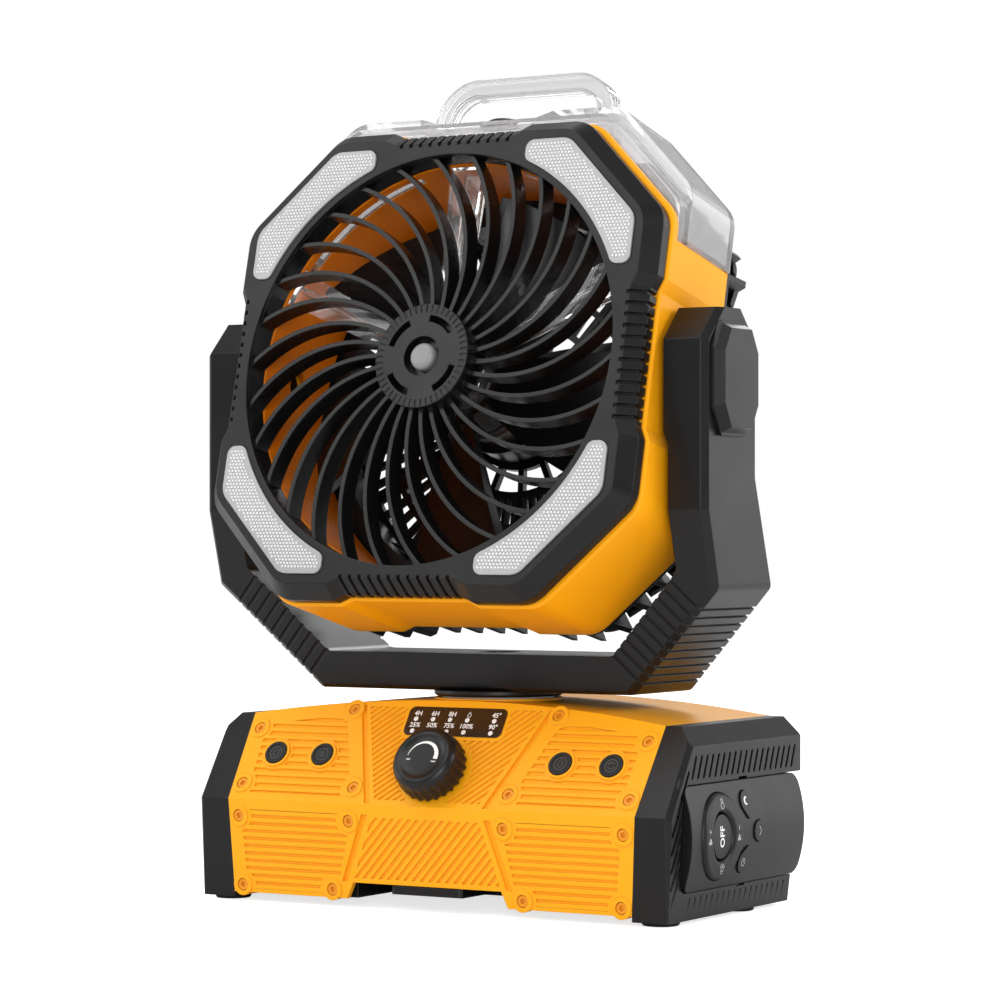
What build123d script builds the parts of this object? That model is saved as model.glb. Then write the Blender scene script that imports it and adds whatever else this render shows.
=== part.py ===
from build123d import *
import math
import os

os.makedirs("parts", exist_ok=True)

# Portable camping fan. Millimetres, +Z up, the grille faces -Y, +X is on the right of
# someone who looks at the grille. The origin is on the table, under the swivel axis.

# ---------------------------------------------------------------- clearances
run_gap = 0.05               # shaft in its bore, radial
press_gap = 0.1              # piece that sits still in its seat
free_gap = 0.3               # between pieces that move past each other
wall = 2.4                   # moulded wall

# ---------------------------------------------------------------- base
foot_radius = 7.0
foot_x, foot_front_y, foot_rear_y = 95.6, -44.0, 16.0
floor_screw_x, floor_screw_y = 60.0, (-46.0, 37.6)
base_front_y = -53.0         # lower edge of the front face
base_front_z = 1.4           # underside of the end caps, over the feet
floor_z = 3.4                # underside of the shell and of the floor
ridge_y, ridge_z = -54.7, 39.9
slope_angle = 32.9           # control face, from vertical
crown_z = 79.1               # top of the arched roof
arch_radius = 626.0
base_rear = ((51.0, 73.5), (53.0, 66.0), (53.0, 52.0), (44.8, base_front_z))
cap_joint_bottom, cap_joint_top, cap_joint_z = 88.3, 92.1, 70.2
cap_outer_bottom, cap_outer = 103.3, 105.0
cap_top_z, cap_top_x, cap_shoulder_z = 72.2, 98.5, 65.0
recess_half_top, recess_half_bottom, recess_z = 33.0, 38.0, 9.7
tray_half, tray_front_y, tray_rear_y, tray_top_z = 36.0, -50.3, -12.0, 14.0
pillar_half, pillar_top_z = 4.0, 13.8
screw_shank_radius, screw_flat_radius = 1.3, 3.0
cross_slot_length, cross_slot_width, cross_slot_depth = 3.6, 0.8, 0.6
bail_half, bail_bar, bail_eye_radius, bail_pin_radius = 15.7, 3.2, 2.6, 1.5
bail_front_y, bail_pivot_y, bail_pivot_z = -53.6, -20.0, 7.8
cell_radius, cell_length, cell_x, cell_z = 9.1, 65.0, 52.0, 26.0
cell_rows = (-33.0, -13.6, 5.8, 25.2)
port_half, port_low_z, port_high_z, port_y = 16.5, 22.0, 34.0, 46.0

# control face, measured along the slope from the ridge
button_x = (-75.0, -53.3, 53.3, 75.0)
button_s, button_radius, collar_radius = 20.5, 4.65, 6.0
button_travel, button_rise = 1.2, 1.2
knob_s, knob_radius, knob_height = 15.4, 14.0, 12.4
knob_rim_radius, knob_lip, knob_dial_radius, knob_dial_depth = 10.6, 0.5, 7.5, 0.9
knob_shoulder, knob_flutes, knob_flute_radius = 12.6, 24, 1.4
window_x, window_s, window_width, window_height = 1.4, 37.2, 43.8, 12.6
slope_screws = ((45.8, 41.3), (87.0, 31.6), (86.2, 6.9), (34.6, 7.0))
front_screws = ((85.6, 31.9), (34.4, 31.8), (84.3, 4.9), (42.4, 5.2))
screw_boss_radius, screw_head_radius = 4.2, 2.2
groove_depth, gutter_depth = 0.8, 1.2

# remote control in the right end cap
remote_front_y, remote_rear_y = -44.0, 49.0
remote_low_z, remote_high_z = 11.9, 50.8
remote_back_x, remote_edge_x, remote_crown_x = 96.6, 104.6, 108.6
remote_split_x, remote_wall, remote_corner = 98.4, 1.5, 4.0
remote_board_x, remote_board_inset = (100.6, 101.6), 2.4
coin_y, coin_radius, coin_height = 28.0, 10.0, 2.1
rail_x, rail_size, rail_reach = 99.4, 1.4, 1.1
notch_y, notch_length, dock_gap = 3.5, 7.0, 0.4
key_y, key_z = -20.1, 31.1
ring_half_y, ring_half_z = 16.0, 16.2
off_half_y, off_half_z = 7.4, 8.2
# each small key as (y, z, radius) of its round head and of its tail
small_keys = (("light_key", (0.6, 42.9, 3.9), (2.0, 37.6, 1.2)),
              ("swing_key", (9.7, 31.2, 4.0), (9.7, 31.2, 1.2)),
              ("timer_key", (-1.9, 20.2, 3.9), (0.9, 25.0, 1.2)))
key_round, key_skirt, key_root_x, key_skirt_x = 2.0, 0.5, 103.2, 104.0

# swivel
disc_radius, disc_low_z, disc_high_z = 25.2, 80.2, 82.4
bearing_seat_z = crown_z + 0.4
swivel_shaft_radius, swivel_shaft_low_z = 12.0, 55.0
gear_low_z, gear_height, gear_module = 58.0, 6.0, 1.0
gear_teeth, pinion_teeth = 48, 16
drive_distance = gear_module * (gear_teeth + pinion_teeth) / 2
pinion_shaft_radius = 1.5
swing_motor_radius, swing_motor_height = 14.0, 19.0
bearing_radius, bearing_bore_radius, cable_bore_radius = 22.0, 14.0, 8.5
retainer_radius, retainer_low_z, retainer_high_z = 17.0, 66.6, 69.6

# yoke
yoke_outer_x, yoke_inner_x = 112.0, 96.4
yoke_bottom_z, yoke_bar_top_z = 82.4, 97.0
yoke_outer_corner_z, yoke_inner_corner_z = 123.0, 129.4
yoke_bottom_x, yoke_bar_x = 70.6, 64.0
yoke_top_z, yoke_shoulder = 226.8, 12.0
pad_x, pad_low_z, pad_slope = 94.4, 175.8, 4.8
arm_front_y, arm_rear_y = -39.8, -0.2
arm_knee_z, bar_front_y, bar_rear_y = 152.0, -20.3, 27.0
cover_x, cover_step, flush_cover_depth = 117.2, 1.6, 2.0
cover_half_y, cover_half_z, cover_corner = 15.2, 21.2, 10.0
flush_half_y, flush_half_z, flush_corner = 14.3, 17.3, 8.2
pivot_boss_radius, hub_flange_radius, pivot_screw_radius = 14.0, 13.0, 2.5
yoke_rib_count, yoke_rib_size = 10, 0.9
yoke_rib_start, yoke_rib_step = 0.195, 0.0772
yoke_bevel, yoke_wall = 2.4, 3.0

# head: its own frame has the pivot at the origin, y to the rear, z up
head_pivot = (0.0, -20.4, 201.5)
head_tilt = 13.66            # leans back
axle_radius, axle_inner_x, axle_outer_x = 6.0, 85.2, 108.0
front_y, rim_y, bezel_rear_y = -35.4, -29.0, -23.5
bezel_half, bezel_face_half, bezel_lip_half = 93.0, 88.0, 92.2
bezel_diagonal = 148.0       # |x| + |z| on the cut corners
corner_radius = 13.0
notch_outer, notch_inner, notch_depth = 30.8, 25.8, 2.2
notch_grooves, notch_groove_width = 12, 1.5
opening_radius = 80.8
grille_outer_radius = 83.0
lens_half, lens_diagonal, lens_inner_radius, lens_end = 84.3, 136.8, 83.5, 33.6
hub_radius, hub_slot_radius, hub_eye_radius, dome_radius = 20.3, 14.8, 7.7, 5.3
vane_count, vane_arc_radius, vane_thickness = 30, 55.6, 1.7
vane_start, vane_phase, vane_sweep = 19.0, -16.9, 72.0
vane_front_y, vane_rear_y = -33.6, -25.4
casing_half, casing_diagonal, casing_rear_y, casing_lip = 94.0, 150.6, 22.5, 0.8
duct_inner_radius, duct_outer_radius, duct_rear_y = 80.5, 82.7, 20.5
tank_joint_z = 47.0
tank_half, tank_diagonal, tank_top_z, tank_front_y = 94.8, 164.2, 104.3, -13.0
tank_step_half, tank_step_diagonal, tank_step_top = 93.6, 157.6, 99.4
tank_step_y = -19.4
saddle_outer, saddle_inner, saddle_depth = 29.5, 20.6, 2.8
filler_y, filler_radius = 3.2, 7.0
handle_half, handle_top_z, handle_bar = 40.5, 129.7, 6.4
handle_front_y, handle_rear_y, handle_foot_z = 12.6, 21.4, 88.0
slot_low_angle, slot_high_angle = 106.0, 155.0
slot_front_y, slot_width = -19.6, 4.6
arm_angles = (25.5, 90.0, 154.5)
arm_outer_width, arm_inner_width = 14.5, 8.5
manifold_front_y, manifold_rear_y = -22.6, -17.4
blade_count, blade_tip_radius, blade_hub_radius = 5, 71.0, 18.0
impeller_front_y, impeller_rear_y = -14.0, 9.0
motor_radius, motor_front_y, motor_rear_y = 19.0, 12.0, 36.0
motor_shaft_radius = 2.0
flange_rear_y, back_plate_y = 25.5, 41.5
louvre_count, louvre_plate, louvre_setback, louvre_inner_radius = 56, 2.2, 2.6, 84.0
louvre_tip_y, louvre_cant, louvre_drop, louvre_lean = 41.0, 1.2, 9.6, 3.6
cover_screw_radius, cover_screw_reach = 3.2, 94.5

nodes = {}


# ---------------------------------------------------------------- helpers
def polygon(points):
    return make_face(Polyline(*points, close=True))


def along_x(face, low, high):
    """Solid from a (y, z) face between two x values."""
    plane = Plane(origin=(low, 0, 0), x_dir=(0, 1, 0), z_dir=(1, 0, 0))
    return extrude(plane * face, amount=high - low)


def along_y(face, low, high):
    """Solid from an (x, z) face between two y values."""
    plane = Plane(origin=(0, high, 0), x_dir=(1, 0, 0), z_dir=(0, -1, 0))
    return extrude(plane * face, amount=high - low)


def along_z(face, low, high):
    return extrude(Pos(0, 0, low) * face, amount=high - low)


def block(x0, x1, y0, y1, z0, z1):
    centre = Pos((x0 + x1) / 2, (y0 + y1) / 2, (z0 + z1) / 2)
    return centre * Box(x1 - x0, y1 - y0, z1 - z0)


def on(plane, x, s, low, high, radius):
    """Cylinder that stands on a plane, between two heights over it."""
    return plane * Pos(x, s, (low + high) / 2) * Cylinder(radius, high - low)


def rod(radius, x0, x1, y, z):
    """Cylinder along X between two x values, in either order."""
    return Pos((x0 + x1) / 2, y, z) * Rot(0, 90, 0) * Cylinder(radius, abs(x1 - x0))


def cross_slot(depth=cross_slot_depth):
    """Cross recess of a screw head, centred on the head's face."""
    bar = Box(cross_slot_length, cross_slot_width, 2 * depth)
    return bar + Rot(0, 0, 90) * bar


def frustum_y(face_low, y_low, face_high, y_high):
    """Loft between two (x, z) faces that lie at two y values."""
    faces = []
    for face, y in ((face_low, y_low), (face_high, y_high)):
        faces.append(Plane(origin=(0, y, 0), x_dir=(1, 0, 0), z_dir=(0, -1, 0)) * face)
    return loft(faces)


def bevel_cut(first, second, size):
    """Everything beyond the bevel between two faces, each a (normal, point) pair."""
    normal = first[0] + second[0]
    sine = first[0].cross(second[0]).length
    level = first[0].dot(first[1]) + second[0].dot(second[1]) - size * sine
    origin = normal * (level / normal.dot(normal))
    return Plane(origin=origin, z_dir=normal) * Pos(0, 0, 100) * Box(600, 600, 200)


def mirrored(shape):
    return mirror(shape, about=Plane.YZ)


def keep(name, shape):
    """Names a finished piece."""
    nodes[name] = shape


def keep_head(name, shape):
    """Names a piece that was modelled in the head's own frame."""
    place = Pos(*head_pivot) * Rot(-head_tilt, 0, 0)
    nodes[name] = place * shape


# ---------------------------------------------------------------- base outline
slope = math.radians(slope_angle)
slope_plane = Plane(origin=(0, ridge_y, ridge_z), x_dir=(1, 0, 0),
                    z_dir=(0, -math.cos(slope), math.sin(slope)))
lean = math.atan2(base_front_y - ridge_y, ridge_z - base_front_z)
front_plane = Plane(origin=(0, base_front_y, base_front_z), x_dir=(1, 0, 0),
                    z_dir=(0, -math.cos(lean), -math.sin(lean)))


def base_profile(inset=0.0):
    """Side view of the base as a (y, z) face, its walls moved in by inset."""
    roof = crown_z + 4
    roof_y = ridge_y + (roof - ridge_z) * math.tan(slope)
    points = [(base_front_y, base_front_z), (ridge_y, ridge_z), (roof_y, roof),
              (base_rear[0][0] - 2, roof), *base_rear]
    face = polygon(points)
    return offset(face, amount=-inset, kind=Kind.INTERSECTION) if inset else face


def front_outline(inset=0.0):
    """Front view of the whole base as an (x, z) face with the arched roof."""
    edge_z = crown_z - arch_radius + math.sqrt(arch_radius ** 2 - cap_joint_top ** 2)
    roof = ThreePointArc((-cap_joint_top, edge_z - inset), (0, crown_z - inset),
                         (cap_joint_top, edge_z - inset))
    right = Polyline((cap_joint_top, edge_z - inset), (cap_top_x - inset / 2, cap_top_z - inset),
                     (cap_outer - inset, cap_shoulder_z - inset / 2), (cap_outer - inset, ridge_z),
                     (cap_outer_bottom - inset, base_front_z))
    left = mirror(right, about=Plane.YZ)
    floor = Line((cap_outer_bottom - inset, base_front_z), (-cap_outer_bottom + inset, base_front_z))
    return make_face([roof, *right.edges(), *left.edges(), floor])


def joint_band(low, high):
    """Everything outboard of the slanted joint between shell and right end cap."""
    top_z = 90
    top_x = cap_joint_bottom + (cap_joint_top - cap_joint_bottom) * top_z / cap_joint_z
    face = polygon([(cap_joint_bottom + low, 0), (high, 0), (high, top_z), (top_x + low, top_z)])
    return along_y(face, -90, 90)


def base_volume(inset=0.0):
    return along_x(base_profile(inset), -130, 130) & along_y(front_outline(inset), -90, 90)


# ---------------------------------------------------------------- base shell
def rib_grooves(panel, keep_out, pitch, rib, angle):
    """Gaps between parallel ribs, as a flat sketch cut to one panel."""
    span = 140.0
    count = int(span / pitch)
    bars = Sketch()
    bars = bars + [Rot(0, 0, angle) * Pos(0, (i - count / 2) * pitch) * Rectangle(2 * span, pitch - rib)
                   for i in range(count + 1)]
    return (bars & panel) - keep_out


def side_panels(plane, outline, holes, pitch):
    """Ribbed fields left and right of the centre, to cut out of the shell."""
    keep_out = Sketch() + [Pos(x, s) * Circle(r) for x, s, r in holes]
    flat = rib_grooves(polygon(outline), keep_out, pitch, 1.7, 0)
    right = plane * extrude(flat, amount=-groove_depth)
    return right, mirrored(right)


def slope_grooves():
    holes = [(x, s, screw_boss_radius + 1.6) for x, s in slope_screws]
    holes += [(x, button_s, collar_radius + 1.0) for x in button_x if x > 0]
    outline = [(35.0, 3.2), (82.5, 3.2), (84.5, 34.0), (49.0, 38.6), (46.5, 34.0)]
    return side_panels(slope_plane, outline, holes, 3.3)


def front_grooves():
    holes = [(x, s, screw_boss_radius + 1.6) for x, s in front_screws]
    outline = [(33.0, 34.4), (40.6, 3.4), (82.0, 3.4), (84.6, 34.4)]
    return side_panels(front_plane, outline, holes, 2.9)


def centre_grooves():
    """Diagonal ribs of the two centre fields and the gutters that frame them."""
    upper = polygon([(-23.4, 2.4), (23.4, 2.4), (39.4, 43.2), (-39.4, 43.2)])
    round_window = RectangleRounded(window_width + 3, window_height + 3, 3)
    keep_out = Pos(window_x, window_s) * round_window + Pos(0, knob_s) * Circle(knob_radius + 1.5)
    upper_cut = rib_grooves(upper, keep_out, 2.3, 1.2, 42)
    lower = polygon([(-24.0, 33.6), (24.0, 33.6), (32.4, 10.2), (-32.4, 10.2)])
    lower_cut = rib_grooves(lower, Sketch(), 2.75, 1.5, 48)
    upper_gutter = polygon([(25.0, 0.6), (27.4, 0.6), (43.6, 43.6), (41.2, 43.6)])
    lower_gutter = polygon([(26.0, 34.6), (28.6, 34.6), (38.0, 8.6), (35.4, 8.6)])
    cuts = [slope_plane * extrude(upper_cut, amount=-groove_depth),
            front_plane * extrude(lower_cut, amount=-groove_depth)]
    for plane, gutter in ((slope_plane, upper_gutter), (front_plane, lower_gutter)):
        right = plane * extrude(gutter, amount=-gutter_depth)
        cuts += [right, mirrored(right)]
    return cuts


def base_shell():
    body = base_volume() - base_volume(wall)
    body -= block(-130, 130, base_front_y + wall, base_rear[3][0] - wall, -5, base_front_z + 6)
    body -= block(-130, 130, -90, 90, -5, floor_z)
    outboard = joint_band(0.0, 130)
    body = body - outboard - mirrored(outboard)
    body += along_z(Circle(bearing_radius + 3.0), 70.0, bearing_seat_z)
    body -= along_z(Circle(bearing_bore_radius), 60, 90)
    recess = polygon([(-recess_half_bottom, -1), (recess_half_bottom, -1),
                      (recess_half_top, recess_z), (-recess_half_top, recess_z)])
    body -= along_y(recess, -60, -45)
    for x in button_x:
        body += on(slope_plane, x, button_s, -wall, 0.9, collar_radius)
        body -= on(slope_plane, x, button_s, -10, 5, button_radius + free_gap)
    body -= on(slope_plane, 0, knob_s, -10, 5, 4.0)
    window = slope_plane * Pos(window_x, window_s, -0.6) * extrude(
        RectangleRounded(window_width, window_height, 2.5), amount=5)
    body -= window
    grooves = [*slope_grooves(), *front_grooves(), *centre_grooves()]
    body -= grooves
    for plane, places in ((slope_plane, slope_screws), (front_plane, front_screws)):
        for x, s in places:
            for side in (-1, 1):
                body += on(plane, side * x, s, -7.5, 0.5, screw_boss_radius)
                body -= on(plane, side * x, s, -1.4, 3, screw_head_radius + 0.25)
                body -= on(plane, side * x, s, -6.5, 3, 1.25)
    body -= block(-port_half, port_half, 40, 60, port_low_z, port_high_z)
    for x in (-floor_screw_x, floor_screw_x):
        for y, wall_y in zip(floor_screw_y, (-54.0, 52.0)):
            y0, y1 = sorted((wall_y, y - math.copysign(pillar_half, wall_y)))
            pillar = block(x - pillar_half, x + pillar_half, y0, y1, floor_z + wall, pillar_top_z)
            body += pillar & base_volume(1.0)
            body -= Pos(x, y, 9) * Cylinder(screw_shank_radius, 14)
    return body


def panel_screws():
    screws = []
    socket = RegularPolygon(1.15, 6)
    for plane, places in ((slope_plane, slope_screws), (front_plane, front_screws)):
        for x, s in places:
            for side in (-1, 1):
                screw = on(plane, side * x, s, -1.4, 0.1, screw_head_radius)
                screw += on(plane, side * x, s, -6.0, -1.4, 1.2)
                screw -= plane * Pos(side * x, s, -0.9) * extrude(socket, amount=3)
                screws.append(screw)
    return Compound(children=screws)


# ---------------------------------------------------------------- base floor and feet
def base_floor():
    plate = along_z(Pos(0, -4.0) * Rectangle(2 * 86.6, 92.6), floor_z, floor_z + wall)
    plate += block(-tray_half, tray_half, tray_front_y, tray_rear_y, floor_z, tray_top_z)
    plate -= block(-tray_half + wall, tray_half - wall, -60, tray_rear_y - wall, -5, tray_top_z - wall)
    plate -= block(-40, 40, -60, -49, -5, recess_z)
    for side in (-1, 1):
        plate += block(side * 20.0 - 2.0, side * 20.0 + 2.0, -24.5, -15.5, 5.2, 12.0)
        for x, s in front_screws[2:]:
            plate -= block(side * x - 5.0, side * x + 5.0, -51.0, -44.8, 0.0, 12.0)
    plate -= rod(bail_pin_radius + run_gap, -30, 30, bail_pivot_y, bail_pivot_z)
    for x in (-floor_screw_x, floor_screw_x):
        for y in floor_screw_y:
            plate -= Pos(x, y, floor_z) * Cylinder(screw_shank_radius, 10)
            plate -= Pos(x, y, floor_z) * Cylinder(screw_flat_radius + 0.2, 2.4)
    return plate


def foot_places():
    return [(x, y) for x in (-foot_x, foot_x) for y in (foot_front_y, foot_rear_y)]


def base_feet():
    feet = []
    for x, y in foot_places():
        pad = Pos(x, y, base_front_z / 2) * Cylinder(foot_radius, base_front_z)
        pad = chamfer(pad.edges().sort_by(Axis.Z)[0], 0.5)
        pad += Pos(x, y, base_front_z + 0.4) * Cylinder(foot_radius - 1.5, 0.8)
        feet.append(pad)
    return Compound(children=feet)


def floor_screws():
    screws = []
    for x in (-floor_screw_x, floor_screw_x):
        for y in floor_screw_y:
            screw = Pos(x, y, floor_z + 0.6) * Cylinder(screw_flat_radius, 1.2)
            screw += Pos(x, y, floor_z + 5.2) * Cylinder(screw_shank_radius, 8)
            screw -= Pos(x, y, floor_z) * cross_slot()
            screws.append(screw)
    return Compound(children=screws)


def hanging_bail():
    """Folding loop under the base: cross bar in front, pivots at the rear."""
    half_bar = bail_bar / 2
    bar = block(-bail_half, bail_half, bail_front_y, bail_front_y + 5, bail_pivot_z - half_bar,
                bail_pivot_z + half_bar)
    bar = fillet(bar.edges().filter_by(Axis.Z), 2.0)
    for side in (-1, 1):
        x = side * (bail_half - 2.4)
        leg = block(x - 2.4, x + 2.4, bail_front_y + 1, bail_pivot_y, bail_pivot_z - 1.7,
                    bail_pivot_z + 1.7)
        eye = rod(bail_eye_radius, x - 2.4, x + 2.4, bail_pivot_y, bail_pivot_z)
        pin = rod(bail_pin_radius, side * bail_half, side * (bail_half + 7.8), bail_pivot_y, bail_pivot_z)
        bar += leg + eye + pin
    return bar


# ---------------------------------------------------------------- end caps
def cap_slots():
    """Slanted slots in the three bands around the side face."""
    slots = Sketch()
    for i in range(19):
        slots += Pos(-35.6 + i * 4.55, 57.4) * Rot(0, 0, -22) * SlotOverall(9.4, 1.5, rotation=90)
    for i in range(18):
        slots += Pos(-38.6 + i * 4.55, 6.3) * Rot(0, 0, -28) * SlotOverall(7.6, 1.5, rotation=90)
    for i in range(7):
        z = 11.5 + i * 6.6
        y = -49.2 + max(0.0, z - 38.0) * 0.5
        slots += Pos(y, z) * Rot(0, 0, -31) * SlotOverall(12.2, 1.5, rotation=90)
    return along_x(slots, cap_outer - 1.6, cap_outer + 4)


def end_cap():
    """Right end cap without the remote dock."""
    cap = base_volume() & joint_band(0.05, 130)
    hollow = base_volume(wall) & joint_band(-1.0, cap_outer - wall)
    cap -= hollow
    cap -= cap_slots() & joint_band(11.0, 130)
    for x, y in foot_places():
        cap -= Pos(x, y, base_front_z) * Cylinder(foot_radius - 1.5, 1.6)
    side = (Vector(1, 0, 0), Vector(cap_outer, 0, 0))
    for face in ((slope_plane.z_dir, slope_plane.origin), (front_plane.z_dir, front_plane.origin)):
        cap -= bevel_cut(side, face, 2.0)
    return cap


def remote_rail(y_low, y_high, grow=0.0):
    """The two rails that hold the remote in its dock."""
    half = rail_size / 2 + grow
    rails = []
    for z in (remote_low_z - 0.5, remote_high_z + 0.5):
        reach = rail_reach + grow
        rails.append(block(rail_x - half, rail_x + half, y_low, y_high, z - reach, z + reach))
    return rails


def right_end_cap():
    cap = end_cap()
    low, high, front = remote_low_z - dock_gap, remote_high_z + dock_gap, remote_front_y - dock_gap
    floor_x = remote_back_x - free_gap
    liner = block(floor_x - wall, cap_outer - 1, front - wall, 60, low - wall, high + wall)
    cap += liner & base_volume(0.5)
    dock = Rectangle(200, high - low)
    dock = fillet(dock.vertices().group_by(Axis.X)[0], remote_corner + dock_gap)
    cap -= along_x(Pos(front + 100, (low + high) / 2) * dock, floor_x, 130)
    cap += [rail & base_volume(0.5) for rail in remote_rail(remote_front_y, 50)]
    for z in (low, high):
        cap -= Pos(cap_outer, notch_y, z) * Box(5, notch_length, 1.6)
    return cap


def left_end_cap():
    cap = mirrored(end_cap())
    face = block(-cap_outer - 2, -cap_outer + 1.2, -36, 42, 15, 49)
    return cap - face


# ---------------------------------------------------------------- remote control
def remote_section(inset=0.0):
    """Barrel-faced section of the remote as an (x, z) face."""
    low, high = remote_low_z + inset, remote_high_z - inset
    middle = (low + high) / 2
    back = remote_back_x + inset
    arc = ThreePointArc((remote_edge_x - inset, high), (remote_crown_x - inset, middle),
                        (remote_edge_x - inset, low))
    side = Polyline((remote_edge_x - inset, low), (back, low), (back, high),
                    (remote_edge_x - inset, high))
    return make_face([arc, *side.edges()])


def key_disc(half_y, half_z, low_x, high_x):
    """Oval (y, z) prism round the middle of the big keys."""
    return along_x(Pos(key_y, key_z) * Ellipse(half_y, half_z), low_x, high_x)


def key_drop(key, grow, low_x, high_x):
    """Prism of one small key: a round head that narrows to its tail."""
    _, head, tail = key
    circles = [Pos(y, z) * Circle(radius + grow) for y, z, radius in (head, tail)]
    face = circles[0]
    if head[:2] != tail[:2]:
        face = make_hull(circles[0].edges() + circles[1].edges())
    return along_x(face, low_x, high_x)


def remote_pieces():
    solid = along_y(remote_section(), remote_front_y, remote_rear_y)
    solid = fillet(solid.edges().filter_by(Axis.X), remote_corner)
    rails = remote_rail(remote_front_y - 5, remote_rear_y + 5, 0.25)
    inner = along_y(remote_section(remote_wall), remote_front_y + remote_wall, remote_rear_y - remote_wall)
    inner = fillet(inner.edges().filter_by(Axis.X), remote_corner - remote_wall)
    hollow = solid - inner - rails
    case = hollow & block(remote_split_x, 120, -90, 90, 0, 90)
    back = hollow & block(80, remote_split_x, -90, 90, 0, 90)
    case -= key_disc(ring_half_y + free_gap, ring_half_z + free_gap, 100, 115)
    case -= [key_drop(key, free_gap, 100, 115) for key in small_keys]
    keep("remote_case", case)
    keep("remote_back", back)
    inset = remote_board_inset
    board = block(*remote_board_x, remote_front_y + inset, remote_rear_y - inset,
                  remote_low_z + inset + 1.0, remote_high_z - inset - 1.0)
    keep("remote_board", board)
    coin_x = remote_board_x[0] - 0.2
    keep("remote_coin_cell", rod(coin_radius, coin_x - coin_height, coin_x, coin_y, key_z + 1.0))
    keep("remote_ring_key", ring_key())
    off = key_disc(off_half_y, off_half_z, key_root_x, 112) & along_y(remote_section(-0.2), -90, 90)
    keep("remote_off_key", off)
    inside = along_y(remote_section(remote_wall + free_gap), -90, 90)
    for key in small_keys:
        body = key_drop(key, 0, key_root_x, 112) & along_y(remote_section(-0.6), -90, 90)
        keep("remote_" + key[0], body + (key_drop(key, key_skirt, key_root_x, key_skirt_x) & inside))


def ring_key():
    """Oval ring with a round crown, with a skirt behind the face of the remote."""
    core = key_disc(off_half_y + 0.6, off_half_z + 0.6, 90, 120)
    ring = key_disc(ring_half_y, ring_half_z, key_root_x, 112) & along_y(remote_section(-1.2), -90, 90)
    ring -= core
    rims = ring.edges().filter_by(lambda edge: edge.center().X > key_skirt_x + 1.0)
    ring = fillet(rims, key_round)
    skirt = key_disc(ring_half_y + key_skirt, ring_half_z + key_skirt, key_root_x, key_skirt_x) - core
    return ring + (skirt & along_y(remote_section(remote_wall + free_gap), -90, 90))


# ---------------------------------------------------------------- controls
def button(x):
    body = on(slope_plane, x, button_s, -4.4, button_rise, button_radius)
    body += on(slope_plane, x, button_s, -6.2, -wall - 0.4, button_radius + 1.2)
    body -= on(slope_plane, x, button_s, button_rise - 0.35, 5, button_radius - 1.1)
    return body


def control_knob():
    """Fluted knob with a thin raised lip round a dished dial."""
    top = knob_height
    body = on(slope_plane, 0, knob_s, 1.0, top - 2.0, knob_radius)
    cutters = []
    for i in range(knob_flutes):
        turn = 2 * math.pi * i / knob_flutes
        x = (knob_radius + 0.7) * math.cos(turn)
        s = knob_s + (knob_radius + 0.7) * math.sin(turn)
        cutters.append(on(slope_plane, x, s, 0, top, knob_flute_radius))
    body -= cutters
    centre = slope_plane * Pos(0, knob_s, 0)
    shoulder = loft([centre * Pos(0, 0, top - 3.4) * Circle(knob_shoulder),
                     centre * Pos(0, 0, top) * Circle(knob_rim_radius)])
    dish = loft([centre * Pos(0, 0, top - knob_dial_depth) * Circle(knob_dial_radius),
                 centre * Pos(0, 0, top) * Circle(knob_rim_radius - knob_lip)])
    body += shoulder - dish
    body -= on(slope_plane, 0, knob_s, 0, 7.4, knob_radius - 2.8)
    body += on(slope_plane, 0, knob_s, -7.0, 8.0, 3.0)
    return body


def rotary_encoder():
    body = slope_plane * Pos(0, knob_s, -7.4) * Box(13.0, 13.0, 5.6)
    body += on(slope_plane, 0, knob_s, -5.0, -wall - 0.1, 4.6)
    body -= on(slope_plane, 0, knob_s, -8.4, 5, 3.0 + run_gap)
    return body


def control_board():
    """Board under the control face with its four switches and status lamps."""
    board = slope_plane * Pos(0, 23.0, -11.0) * Box(160.0, 32.0, 1.6)
    for x in button_x:
        board += slope_plane * Pos(x, button_s, -9.2) * Box(6.0, 6.0, 2.2)
        board += on(slope_plane, x, button_s, -8.2, -6.2 - button_travel - 0.15, 1.6)
    return board


def indicator_window():
    return slope_plane * Pos(window_x, window_s, -0.6) * extrude(
        RectangleRounded(window_width - 0.1, window_height - 0.1, 2.45), amount=0.9)


# ---------------------------------------------------------------- inside the base
def battery_cells():
    cells = []
    for side in (-1, 1):
        for y in cell_rows:
            near, far = side * (cell_x - cell_length / 2), side * (cell_x + cell_length / 2)
            cells.append(rod(cell_radius, near, far, y, cell_z) + rod(2.8, far, far + side, y, cell_z))
    return Compound(children=cells)


def battery_holder():
    """Two open trays that stand on the floor and cradle the cells."""
    trays = []
    low_y, high_y = cell_rows[0] - 10.6, cell_rows[-1] + 10.6
    for side in (-1, 1):
        near, far = cell_x - cell_length / 2, cell_x + cell_length / 2
        x0, x1 = sorted((side * (near - 2.4), side * (far + 3.6)))
        tray = block(x0, x1, low_y, high_y, tray_top_z, cell_z - 1)
        tray -= block(x0 + 2, x1 - 2, low_y + 1.2, high_y - 1.2, cell_z - 3.0, cell_z + 2)
        for y in cell_rows:
            tray -= rod(cell_radius + press_gap, side * (near - 0.3), side * (far + 1.1), y, cell_z)
        for x, y in ((26.0, high_y - 4), (78.0, high_y - 4), (78.0, low_y + 4)):
            x *= side
            tray += block(x - 2, x + 2, y - 2, y + 2, floor_z + wall, tray_top_z + 1)
        trays.append(tray)
    return Compound(children=trays)


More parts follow.
